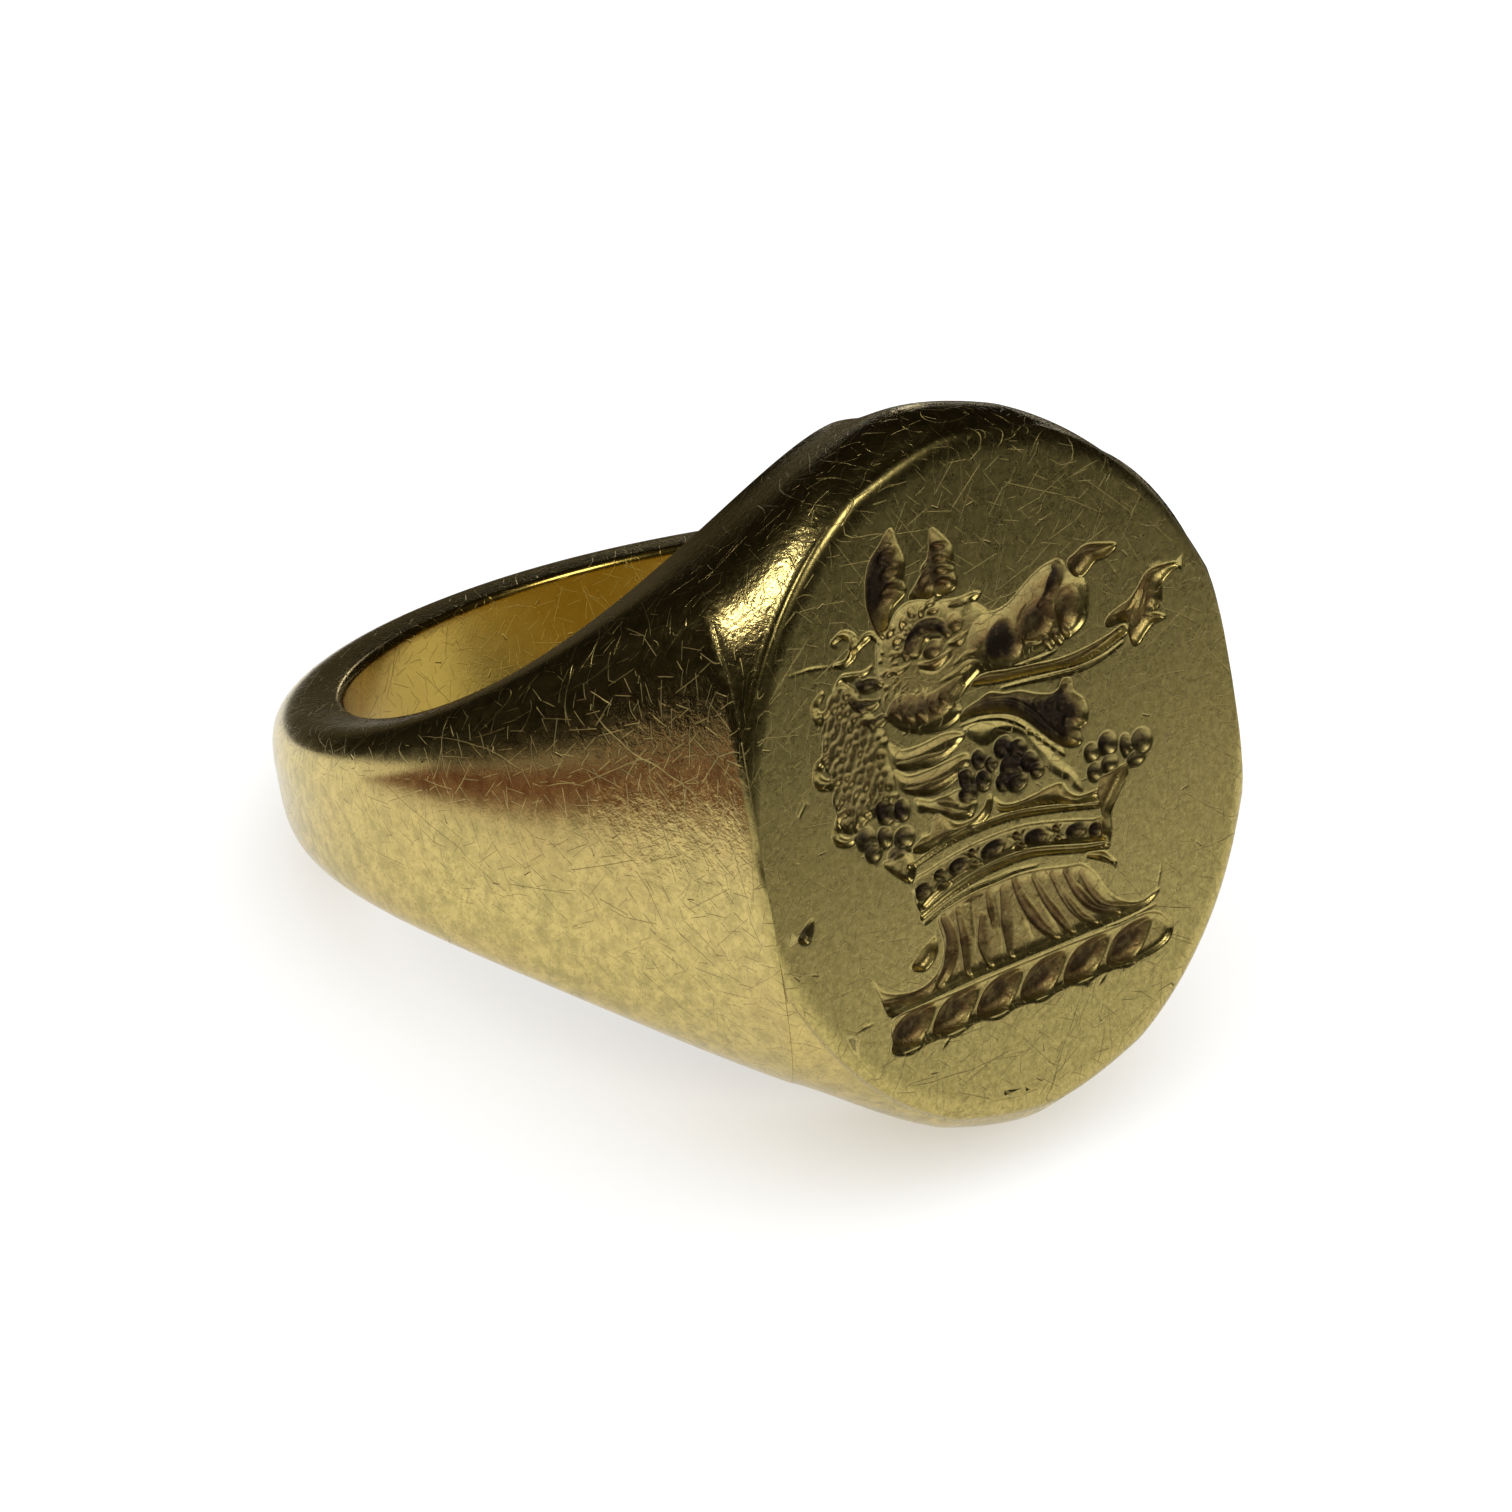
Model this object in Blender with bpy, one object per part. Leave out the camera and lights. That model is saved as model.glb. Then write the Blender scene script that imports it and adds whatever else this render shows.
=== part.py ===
"""Gold signet ring lying on its side, in metres, +Z up.

The ring is drawn about its finger axis, with the seal face towards -Y, and then
leaned back as it lies on a table: on the lower edge of the head and the back of the shank.
"""
import math

import bmesh
import bpy
from mathutils import Matrix, Vector

# Driving dimensions, in millimetres
BORE_RADIUS = 9.0            # finger hole, 18 mm across
FACE_DISTANCE = 14.0         # finger axis to seal face
FACE_HALF_WIDTH = 8.05
FACE_HALF_HEIGHT = 9.0
RIM_ROUND = 0.24             # broken edge round the seal face
BORE_ROUND = 0.22            # eased edge of the finger hole
BACK_HALF_HEIGHT = 1.65      # half the width of the band at the back
HEAD_HALF_HEIGHT = 9.1       # the same at the middle of the head
HEIGHT_SPREAD = 58.0         # degrees over which the head narrows into the band
HEIGHT_POWER = 1.65
CROWN = 0.87                 # swell of the head's top and bottom walls
CROWN_SKEW = 1.8             # how far the swell leans towards the face
BAND_THICKNESS = 2.15        # at the back
SHOULDER_SPREAD = 15.5       # degrees over which the shoulder thins into the band
HEAD_SECTION_POWER = 2.0     # 2 is an ellipse, more is squarer
BAND_SECTION_POWER = 4.0
TABLE_THICKNESS = 1.4
CREST_DEPTH = 0.35
HEAD_HALF_ANGLE = 50.0       # where the arms are soldered to the head
SIZING_HALF_ANGLE = 11.0     # the piece let in at the back
SOLDER = 0.06                # thickness of each solder joint
REST_ANGLE = 21.3            # lean of the finger axis as the ring lies

# Cells round a section: half the finger hole, its eased edge, a side wall, the rim, half the face
BORE_CELLS = 5
EASE_CELLS = 2
WALL_CELLS = 8
RIM_CELLS = 2
FACE_CELLS = 7

GOLD = (0.83, 0.62, 0.27, 1.0)
SOLDER_GOLD = (0.80, 0.63, 0.33, 1.0)

CORNER_ANGLE = math.atan2(FACE_HALF_WIDTH, FACE_DISTANCE)
CORNER_THICKNESS = math.hypot(FACE_HALF_WIDTH, FACE_DISTANCE) - BORE_RADIUS

for old in list(bpy.data.objects):
    bpy.data.objects.remove(old, do_unlink=True)

scene = bpy.context.scene
scene.unit_settings.system = "METRIC"
ring = bpy.data.collections.new("signet_ring")
scene.collection.children.link(ring)
cutters = bpy.data.collections.new("cutters")
scene.collection.children.link(cutters)


# --- The body's section at each angle round the finger ---

def half_height(angle):
    """Half the width of the band along the finger, at this angle from the middle of the face."""
    share = math.exp(-((math.degrees(angle) / HEIGHT_SPREAD) ** HEIGHT_POWER))
    return BACK_HALF_HEIGHT + (HEAD_HALF_HEIGHT - BACK_HALF_HEIGHT) * share


def section_power(angle):
    share = (half_height(angle) - BACK_HALF_HEIGHT) / (HEAD_HALF_HEIGHT - BACK_HALF_HEIGHT)
    return BAND_SECTION_POWER + (HEAD_SECTION_POWER - BAND_SECTION_POWER) * share


def band_thickness(angle):
    beyond = math.degrees(angle - CORNER_ANGLE) / SHOULDER_SPREAD
    return BAND_THICKNESS + (CORNER_THICKNESS - BAND_THICKNESS) * math.exp(-beyond)


def half_section(angle):
    """Radius and height of each point, from the middle of the bore over the top to the middle of the face."""
    angle = min(abs(angle), 2 * math.pi - abs(angle))
    high = half_height(angle)
    power = section_power(angle)
    if angle < CORNER_ANGLE:
        outer = FACE_DISTANCE / math.cos(angle)
        across = FACE_DISTANCE * math.tan(angle) / FACE_HALF_WIDTH
        edge = FACE_HALF_HEIGHT * math.sqrt(max(0.0, 1.0 - across * across))
    else:
        outer = BORE_RADIUS + band_thickness(angle)
        edge = 0.0
    swell = CROWN * (high / HEAD_HALF_HEIGHT) ** 2
    rounding = min(RIM_ROUND, 0.5 * edge)
    depth = outer - BORE_RADIUS
    share = min(edge / high, 0.97)
    reach = depth / (1.0 - share ** power) ** (1.0 / power)

    def wall(turn):
        """A point of the side wall: 0 at the finger hole, 1 where the superellipse meets the middle."""
        rise = math.sin(turn * math.pi / 2) ** (2.0 / power)
        flat = math.cos(turn * math.pi / 2) ** (2.0 / power)
        radius = BORE_RADIUS + reach * rise
        outward = min(1.0, (radius - BORE_RADIUS) / depth) ** CROWN_SKEW
        bulge = swell * math.sin(math.pi * outward) ** 0.9
        return radius, high * flat + bulge

    ease = min(BORE_ROUND, 0.3 * high)
    points = []
    for i in range(BORE_CELLS):
        points.append((BORE_RADIUS, (high - ease) * i / BORE_CELLS))
    for i in range(EASE_CELLS):
        turn = math.pi / 2 * i / EASE_CELLS
        points.append((BORE_RADIUS + ease * (1 - math.cos(turn)), high - ease + ease * math.sin(turn)))
    start = 2.0 / math.pi * math.asin(min(1.0, ease / reach) ** (power / 2.0))
    end = 2.0 / math.pi * math.acos(share ** (power / 2.0))
    if edge > 0.0:
        last = 2.0 / math.pi * math.asin(min(1.0, (depth - rounding) / reach) ** (power / 2.0))
    else:
        blend = min(1.0, math.degrees(angle - CORNER_ANGLE) / 30.0)
        last = end - (end - start) * 0.45 * blend
    for i in range(WALL_CELLS):
        points.append(wall(start + (last - start) * i / WALL_CELLS))
    if edge > 0.0:
        first = wall(last)
        corner = (outer, first[1])
        after = (outer, edge - rounding)
        for i in range(RIM_CELLS):
            t = i / RIM_CELLS
            radius = (1 - t) ** 2 * first[0] + 2 * t * (1 - t) * corner[0] + t * t * after[0]
            height = (1 - t) ** 2 * first[1] + 2 * t * (1 - t) * corner[1] + t * t * after[1]
            points.append((radius, height))
        for i in range(FACE_CELLS + 1):
            points.append((outer, (edge - rounding) * (1 - i / FACE_CELLS)))
    else:
        cells = RIM_CELLS + FACE_CELLS
        for i in range(cells + 1):
            points.append(wall(last + (end - last) * i / cells))
        points[-1] = (outer, 0.0)
    return points


def section_loop(angle):
    """The whole closed section as points in the ring's own axes."""
    half = half_section(angle)
    lower = [(radius, -height) for radius, height in half[-2:0:-1]]
    loop = []
    for radius, height in half + lower:
        loop.append(Vector((radius * math.sin(angle), -radius * math.cos(angle), height)) / 1000)
    return loop


def loft(name, angles, collection, colour):
    """A closed body through the sections at these angles, with flat ends."""
    bm = bmesh.new()
    loops = [[bm.verts.new(point) for point in section_loop(angle)] for angle in angles]
    count = len(loops[0])
    for before, after in zip(loops, loops[1:]):
        for i in range(count):
            j = (i + 1) % count
            bm.faces.new((before[i], before[j], after[j], after[i]))
    bm.faces.new(loops[0][::-1])
    bm.faces.new(loops[-1])
    bmesh.ops.remove_doubles(bm, verts=bm.verts, dist=1e-7)
    bmesh.ops.recalc_face_normals(bm, faces=bm.faces)
    mesh = bpy.data.meshes.new(name)
    bm.to_mesh(mesh)
    bm.free()
    return placed(name, mesh, collection, colour)


def placed(name, mesh, collection, colour):
    body = bpy.data.objects.new(name, mesh)
    collection.objects.link(body)
    for face in mesh.polygons:
        face.use_smooth = True
    mesh.set_sharp_from_angle(angle=math.radians(35))
    material = bpy.data.materials.new(name + "_gold")
    material.use_nodes = True
    shader = material.node_tree.nodes["Principled BSDF"]
    shader.inputs["Base Color"].default_value = colour
    shader.inputs["Metallic"].default_value = 1.0
    shader.inputs["Roughness"].default_value = 0.28
    mesh.materials.append(material)
    return body


def block(name, low, high):
    """A box cutter between two corners, in the ring's own axes and millimetres."""
    bm = bmesh.new()
    bmesh.ops.create_cube(bm, size=1.0)
    size = Vector(high) - Vector(low)
    middle = (Vector(high) + Vector(low)) / 2
    bmesh.ops.transform(bm, matrix=Matrix.Diagonal(size / 1000).to_4x4(), verts=bm.verts)
    bmesh.ops.translate(bm, vec=middle / 1000, verts=bm.verts)
    mesh = bpy.data.meshes.new(name)
    bm.to_mesh(mesh)
    bm.free()
    cutter = bpy.data.objects.new(name, mesh)
    cutters.objects.link(cutter)
    cutter.hide_render = True
    cutter.display_type = "WIRE"
    return cutter


def pockets(name, outlines):
    """A cutter with these smooth outlines on the seal face, as deep as the crest."""
    drawing = bpy.data.curves.new(name, "CURVE")
    drawing.dimensions = "2D"
    drawing.fill_mode = "BOTH"
    drawing.resolution_u = 3
    drawing.extrude = CREST_DEPTH / 1000
    for spots in outlines:
        spline = drawing.splines.new("BEZIER")
        spline.bezier_points.add(len(spots) - 1)
        spline.use_cyclic_u = True
        for point, (x, z) in zip(spline.bezier_points, spots):
            point.co = (x / 1000, z / 1000, 0.0)
            point.handle_left_type = "AUTO"
            point.handle_right_type = "AUTO"
    guide = bpy.data.objects.new(name + "_guide", drawing)
    cutters.objects.link(guide)
    bpy.context.view_layer.update()
    mesh = bpy.data.meshes.new_from_object(guide.evaluated_get(bpy.context.evaluated_depsgraph_get()))
    bpy.data.objects.remove(guide, do_unlink=True)
    bm = bmesh.new()
    bm.from_mesh(mesh)
    bmesh.ops.remove_doubles(bm, verts=bm.verts, dist=1e-7)
    bmesh.ops.rotate(bm, matrix=Matrix.Rotation(math.radians(90), 3, "X"), verts=bm.verts)
    bmesh.ops.translate(bm, vec=(0.0, -FACE_DISTANCE / 1000, 0.0), verts=bm.verts)
    bmesh.ops.recalc_face_normals(bm, faces=bm.faces)
    bm.to_mesh(mesh)
    bm.free()
    cutter = bpy.data.objects.new(name, mesh)
    cutters.objects.link(cutter)
    cutter.hide_render = True
    cutter.display_type = "WIRE"
    return cutter


def cut(body, cutter, operation):
    step = body.modifiers.new(cutter.name, "BOOLEAN")
    step.operation = operation
    step.solver = "EXACT"
    step.object = cutter


def steps(start, end, count):
    return [start + (end - start) * i / count for i in range(count + 1)]


def face_angles():
    """Stations from the middle of the face to its corner, closing up as the oval does."""
    stations = [math.atan2(FACE_HALF_WIDTH * math.sin(turn), FACE_DISTANCE)
                for turn in steps(0.0, math.pi / 2, 14)[:-1]]
    return stations


# --- The parts that share the head's outline ---

seam = HEAD_HALF_ANGLE * math.pi / 180
solder_angle = SOLDER / (BORE_RADIUS + 1.5)
right_half = face_angles() + steps(CORNER_ANGLE, seam, 9)
head_angles = [-angle for angle in right_half[:0:-1]] + right_half
table_back = -(FACE_DISTANCE - TABLE_THICKNESS)

# The seal table: the oval plate that carries the engraving
seal_table = loft("seal_table", head_angles, ring, GOLD)
table_space = block("table_space", (-20, -20, -20), (20, table_back, 20))
cut(seal_table, table_space, "INTERSECT")

# The crest is cut into the table as one pocket for each of its masses. The outlines are in
# millimetres on the face: x to the right, z up it.
CREST = {
    "horn_left": ((-3.02, 4.85), (-3.36, 5.7), (-3.1, 6.8), (-2.35, 7.35), (-2.1, 6.5), (-2.25, 5.8), (-2.7, 5.4)),
    "horn_right": ((-1.9, 5.65), (-1.4, 6.15), (-1.02, 6.95), (-0.55, 6.4), (-0.6, 5.5), (-1.2, 5.45)),
    "skull": ((-3.45, 3.4), (-3.25, 4.55), (-2.5, 5.1), (-1.8, 5.25), (-0.9, 5.0), (-0.42, 4.5), (-0.5, 3.4),
              (-1.1, 2.65), (-1.7, 2.1), (-2.6, 2.1), (-3.25, 2.7)),
    "snout": ((-0.15, 4.45), (0.6, 4.28), (1.3, 4.42), (2.1, 4.82), (2.75, 4.92), (3.0, 4.55), (3.5, 4.15),
              (3.5, 3.4), (2.9, 3.05), (1.8, 2.95), (0.5, 2.95), (-0.1, 3.2), (-0.25, 3.8)),
    "nose": ((3.3, 4.82), (3.9, 5.02), (4.75, 4.8), (4.1, 4.62), (3.55, 4.5)),
    "tongue": ((-0.4, 2.66), (1.2, 2.38), (3.0, 2.14), (4.5, 2.34), (4.55, 2.56), (3.0, 2.4), (1.4, 2.58), (0.0, 2.76)),
    "barb": ((4.3, 2.88), (5.0, 3.14), (5.6, 3.62), (6.4, 3.66), (6.0, 2.9), (5.7, 2.45), (5.15, 2.1), (4.9, 2.6)),
    "jaw": ((-0.8, 2.0), (0.5, 2.0), (1.6, 1.66), (2.5, 1.7), (2.95, 0.95), (2.55, 0.1), (1.9, 0.4), (1.2, 1.05),
            (0.4, 1.55), (-0.4, 1.8)),
    "neck_folds": ((-3.35, 1.7), (-2.2, 1.62), (-1.1, 1.45), (-0.2, 1.2), (0.7, 0.9), (1.15, 0.2), (1.0, -0.44),
                   (0.1, -0.63), (-1.0, -0.57), (-2.1, -0.43), (-2.95, -0.1), (-3.1, 0.8)),
    "mane": ((-5.35, 0.7), (-5.5, 2.2), (-5.1, 3.6), (-4.6, 3.95), (-3.9, 2.9), (-3.7, 1.8), (-3.65, 0.7), (-4.5, 0.35)),
    "leaf_left": ((-4.9, -0.45), (-4.5, -0.05), (-3.95, 0.2), (-3.4, 0.15), (-3.3, -0.5), (-3.7, -1.1), (-4.4, -0.9)),
    "crown_collar": ((-3.35, -1.5), (-2.2, -1.2), (-0.4, -1.1), (1.2, -1.3), (2.7, -1.6), (2.9, -1.0), (2.8, -0.4),
                     (3.4, -0.05), (4.6, -0.3), (4.85, -0.9), (4.1, -1.1), (3.35, -2.0), (3.05, -2.75), (1.6, -2.45),
                     (0.0, -2.15), (-1.6, -2.15), (-3.2, -2.55)),
    "neck": ((-2.7, -3.05), (-1.0, -2.85), (0.8, -3.0), (2.1, -3.3), (2.85, -4.3), (4.1, -4.8), (2.0, -4.95),
             (-1.0, -4.9), (-4.0, -4.9), (-4.9, -4.8), (-5.1, -4.1), (-4.3, -4.6), (-3.15, -4.3)),
    "wreath": ((-4.85, -5.55), (-4.3, -5.15), (-1.0, -5.15), (2.5, -5.22), (4.2, -5.38), (4.6, -5.85), (4.1, -6.22),
               (1.5, -6.2), (-1.0, -6.12), (-4.2, -5.98)),
}
cut(seal_table, pockets("crest", CREST.values()), "DIFFERENCE")

# The solder film between the table and the head
table_solder = loft("table_solder", head_angles, ring, SOLDER_GOLD)
film_space = block("film_space", (-20, table_back, -20), (20, table_back + SOLDER, 20))
cut(table_solder, film_space, "INTERSECT")

# The head block: the saddle under the table, filed to the shoulders
head_block = loft("head_block", head_angles, ring, GOLD)
head_space = block("head_space", (-20, -20, -20), (20, table_back + SOLDER, 20))
cut(head_block, head_space, "DIFFERENCE")

# --- The band: two arms, the sizing piece and their solder joints ---

sizing = math.pi - SIZING_HALF_ANGLE * math.pi / 180
for side, name in ((-1, "left"), (1, "right")):
    joint = steps(seam, seam + solder_angle, 1)
    loft("head_solder_" + name, [side * angle for angle in joint], ring, SOLDER_GOLD)
    arm = steps(seam + solder_angle, sizing - solder_angle, 30)
    loft("shank_arm_" + name, [side * angle for angle in arm], ring, GOLD)
    joint = steps(sizing - solder_angle, sizing, 1)
    loft("sizing_solder_" + name, [side * angle for angle in joint], ring, SOLDER_GOLD)
loft("sizing_piece", steps(sizing, 2 * math.pi - sizing, 6), ring, GOLD)

# --- Lay the ring down ---

ring_axis = bpy.data.objects.new("ring_axis", None)
ring.objects.link(ring_axis)
for group in (ring, cutters):
    for body in group.objects:
        if body.type == "MESH":
            body.parent = ring_axis
lean = Matrix.Rotation(-math.radians(REST_ANGLE), 4, "X")
outline = [lean @ vert.co for body in ring.objects if body.type == "MESH" for vert in body.data.vertices]
middle = (min(point.y for point in outline) + max(point.y for point in outline)) / 2
ring_axis.rotation_euler = (-math.radians(REST_ANGLE), 0.0, 0.0)
ring_axis.location = (0.0, -middle, -min(point.z for point in outline))
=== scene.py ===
"""A worn gold signet ring lying on a pale table, its oval seal engraved with a beast's head."""
import math
import random

import bmesh
import bpy
import numpy as np
from mathutils import Matrix, Vector


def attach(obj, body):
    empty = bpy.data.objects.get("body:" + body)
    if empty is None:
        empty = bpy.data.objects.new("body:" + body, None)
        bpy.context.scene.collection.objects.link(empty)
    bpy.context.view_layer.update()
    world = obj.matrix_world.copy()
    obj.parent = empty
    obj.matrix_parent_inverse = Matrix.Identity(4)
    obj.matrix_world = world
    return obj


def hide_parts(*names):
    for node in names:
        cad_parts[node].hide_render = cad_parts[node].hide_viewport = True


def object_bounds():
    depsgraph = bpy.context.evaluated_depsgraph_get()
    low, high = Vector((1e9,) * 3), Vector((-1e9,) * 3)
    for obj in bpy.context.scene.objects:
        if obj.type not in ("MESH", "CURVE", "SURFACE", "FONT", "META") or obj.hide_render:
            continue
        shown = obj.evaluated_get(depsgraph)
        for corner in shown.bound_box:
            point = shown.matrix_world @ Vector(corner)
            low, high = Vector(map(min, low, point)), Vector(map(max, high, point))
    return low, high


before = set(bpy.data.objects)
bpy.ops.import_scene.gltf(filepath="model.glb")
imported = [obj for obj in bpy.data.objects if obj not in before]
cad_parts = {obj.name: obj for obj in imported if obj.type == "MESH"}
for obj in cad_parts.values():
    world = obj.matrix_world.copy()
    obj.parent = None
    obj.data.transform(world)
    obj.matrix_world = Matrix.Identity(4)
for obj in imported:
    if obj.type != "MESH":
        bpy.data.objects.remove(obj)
cad_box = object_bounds()


# --- The table, its cards and lamps, and the camera ---
# A matt white table top in a room whose walls are pale, but dark in the polish of the ring.
# Three round lamps give the highlights, and two cards on the table tint what the gold mirrors.
# The camera stands to the left of the seal face and looks down on the ring.

table_radius = 0.12
table_middle = 0.03, -0.035
table_height = cad_box[0].z - 0.00002
card_height = cad_box[0].z + 0.0001
table_top = bmesh.new()
bmesh.ops.create_circle(table_top, cap_ends=True, segments=96, radius=table_radius)
bmesh.ops.translate(table_top, vec=(*table_middle, table_height), verts=table_top.verts)
table_mesh = bpy.data.meshes.new("table_top")
table_top.to_mesh(table_mesh)
table_top.free()
table = bpy.data.objects.new("table_top", table_mesh)
bpy.context.collection.objects.link(table)
matt_white = bpy.data.materials.new("matt_white")
matt_white.use_nodes = True
matt_white.node_tree.nodes["Principled BSDF"].inputs["Base Color"].default_value = (0.85, 0.857, 0.87, 1)
matt_white.node_tree.nodes["Principled BSDF"].inputs["Roughness"].default_value = 0.9
matt_white.node_tree.nodes["Principled BSDF"].inputs["Specular IOR Level"].default_value = 0.0
table_mesh.materials.append(matt_white)


def laid_card(name, size, centre, turned, colour):
    """A coloured card on the table that is seen only in the polish of the ring."""
    bm = bmesh.new()
    bmesh.ops.create_grid(bm, x_segments=1, y_segments=1, size=0.5)
    bmesh.ops.scale(bm, vec=(*size, 1), verts=bm.verts)
    bmesh.ops.rotate(bm, matrix=Matrix.Rotation(math.radians(turned), 3, "Z"), verts=bm.verts)
    bmesh.ops.translate(bm, vec=(*centre, card_height), verts=bm.verts)
    mesh = bpy.data.meshes.new(name)
    bm.to_mesh(mesh)
    bm.free()
    card = bpy.data.objects.new(name, mesh)
    bpy.context.collection.objects.link(card)
    finish = bpy.data.materials.new(name)
    finish.use_nodes = True
    finish.node_tree.nodes["Principled BSDF"].inputs["Base Color"].default_value = colour
    finish.node_tree.nodes["Principled BSDF"].inputs["Roughness"].default_value = 1.0
    finish.node_tree.nodes["Principled BSDF"].inputs["Specular IOR Level"].default_value = 0.0
    mesh.materials.append(finish)
    card.visible_camera = card.visible_diffuse = card.visible_shadow = False


laid_card("dark_card", (0.16, 0.07), (0.0335, 0.037), -42, (0.05, 0.042, 0.025, 1))
laid_card("warm_card", (0.038, 0.032), (-0.048, 0.010), -22, (0.12, 0.03, 0.012, 1))

for name, size, energy, where in (("lamp", 0.18, 0.65, (0.0, -0.14, 0.44)),
                                  ("small_lamp", 0.08, 0.3, (-0.25, 0.20, 0.33)),
                                  ("back_lamp", 0.03, 0.006, (0.13, 0.165, 0.012))):
    lamp_data = bpy.data.lights.new(name, "AREA")
    lamp_data.shape = "DISK"
    lamp_data.size = size
    lamp_data.energy = energy
    lamp_data.color = (1.0, 0.985, 0.96)
    lamp_data.use_shadow = False
    lamp = bpy.data.objects.new(name, lamp_data)
    bpy.context.collection.objects.link(lamp)
    lamp.location = where
    lamp.rotation_euler = (-lamp.location).to_track_quat("-Z", "Y").to_euler()

room = bpy.data.worlds.new("room")
bpy.context.scene.world = room
room.use_nodes = True
room_nodes = room.node_tree.nodes
room_links = room.node_tree.links
pale = room_nodes["Background"]
pale.inputs["Color"].default_value = (1.0, 1.0, 1.0, 1)
pale.inputs["Strength"].default_value = 1.05
dark = room_nodes.new("ShaderNodeBackground")
dark.inputs["Color"].default_value = (0.9, 0.75, 0.55, 1)
dark.inputs["Strength"].default_value = 0.012
path = room_nodes.new("ShaderNodeLightPath")
either = room_nodes.new("ShaderNodeMixShader")
room_links.new(path.outputs["Is Glossy Ray"], either.inputs["Fac"])
room_links.new(pale.outputs["Background"], either.inputs[1])
room_links.new(dark.outputs["Background"], either.inputs[2])
room_links.new(either.outputs["Shader"], room_nodes["World Output"].inputs["Surface"])

camera_data = bpy.data.cameras.new("camera")
camera_data.lens = 186.6
camera_data.sensor_width = 36
camera_data.clip_start = 0.01
camera = bpy.data.objects.new("camera", camera_data)
bpy.context.collection.objects.link(camera)
aim = Vector((-0.00093, -0.00161, 0.00636))
side_step, looking_down, tilt = -41.9, 34.51, 4.69
camera_distance = 0.2110
turn = (Matrix.Rotation(math.radians(side_step), 4, "Z")
        @ Matrix.Rotation(math.radians(90 - looking_down), 4, "X")
        @ Matrix.Rotation(math.radians(tilt), 4, "Z"))
camera.matrix_world = Matrix.Translation(aim) @ turn @ Matrix.Translation((0, 0, camera_distance))
bpy.context.scene.camera = camera
bpy.context.scene.view_settings.view_transform = "Standard"


# --- The forged body: one outline that every piece of the ring shares ---
# The band and the head are filed to one smooth form before the front is filed flat.
# Each station round the finger holds one section, from the middle of the bore over the top and back.

bore_radius = 9.0
face_distance = 14.0
face_half_width = 8.05
face_half_height = 9.0
rim_round = 0.42
bore_round = 0.22
back_half_height = 1.65
head_half_height = 9.1
crown = 0.87
crown_skew = 1.8
band_thickness = 2.15
rest_angle = 21.3
cushion = 0.0025, 0, 0.0042  # how far wear bends the normals of the face for each millimetre
corner = math.atan2(face_half_width, face_distance)
corner_thickness = math.hypot(face_half_width, face_distance) - bore_radius
bore_cells, ease_cells, wall_cells, rim_cells, face_cells = 9, 6, 30, 6, 6


def half_section(angle):
    """Radius and height of the section's points at this angle from the middle of the face."""
    angle = min(abs(angle), 2 * math.pi - abs(angle))
    share = math.exp(-((math.degrees(angle) / 58.0) ** 1.65))
    high = back_half_height + (head_half_height - back_half_height) * share
    power = 4.0 - 2.0 * share
    if angle < corner - 1e-9:
        outer = face_distance / math.cos(angle)
        edge = face_half_height * math.sqrt(1.0 - (face_distance * math.tan(angle) / face_half_width) ** 2)
    else:
        beyond = math.degrees(angle - corner) / 15.5
        outer = bore_radius + band_thickness + (corner_thickness - band_thickness) * math.exp(-beyond)
        edge = 0.0
    depth = outer - bore_radius
    rounding = min(rim_round, 0.5 * edge)
    lean = min(edge / high, 0.97)
    reach = depth / (1.0 - lean ** power) ** (1.0 / power)
    swell = crown * (high / head_half_height) ** 2

    def wall(turn):
        radius = bore_radius + reach * math.sin(turn) ** (2.0 / power)
        outward = min(1.0, (radius - bore_radius) / depth) ** crown_skew
        bulge = swell * math.sin(math.pi * outward) ** 0.9
        return radius, high * math.cos(turn) ** (2.0 / power) + bulge

    ease = min(bore_round, 0.3 * high)
    points = [(bore_radius, (high - ease) * i / bore_cells) for i in range(bore_cells)]
    for i in range(ease_cells):
        turn = math.pi / 2 * i / ease_cells
        points.append((bore_radius + ease * (1 - math.cos(turn)), high - ease + ease * math.sin(turn)))
    start = math.asin(min(1.0, ease / reach) ** (power / 2))
    end = math.acos(lean ** (power / 2))
    if edge > 0.0:
        last = math.asin(min(1.0, (depth - rounding) / reach) ** (power / 2))
        points += [wall(start + (last - start) * i / wall_cells) for i in range(wall_cells)]
        first = wall(last)
        for i in range(rim_cells):
            t = i / rim_cells
            points.append(((1 - t) ** 2 * first[0] + (2 * t * (1 - t) + t * t) * outer,
                           (1 - t * t) * first[1] + t * t * (edge - rounding)))
        points += [(outer, (edge - rounding) * (1 - i / face_cells)) for i in range(face_cells + 1)]
    else:
        blend = min(1.0, math.degrees(angle - corner) / 30.0)
        last = end - (end - start) * 0.45 * blend
        points += [wall(start + (last - start) * i / wall_cells) for i in range(wall_cells)]
        cells = rim_cells + face_cells
        points += [wall(last + (end - last) * i / cells) for i in range(cells)]
        points.append((outer, 0.0))
    return points


def spaced(start, end, count):
    """Evenly spaced values from start to end, in this many steps."""
    return [start + (end - start) * i / count for i in range(count + 1)]


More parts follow.
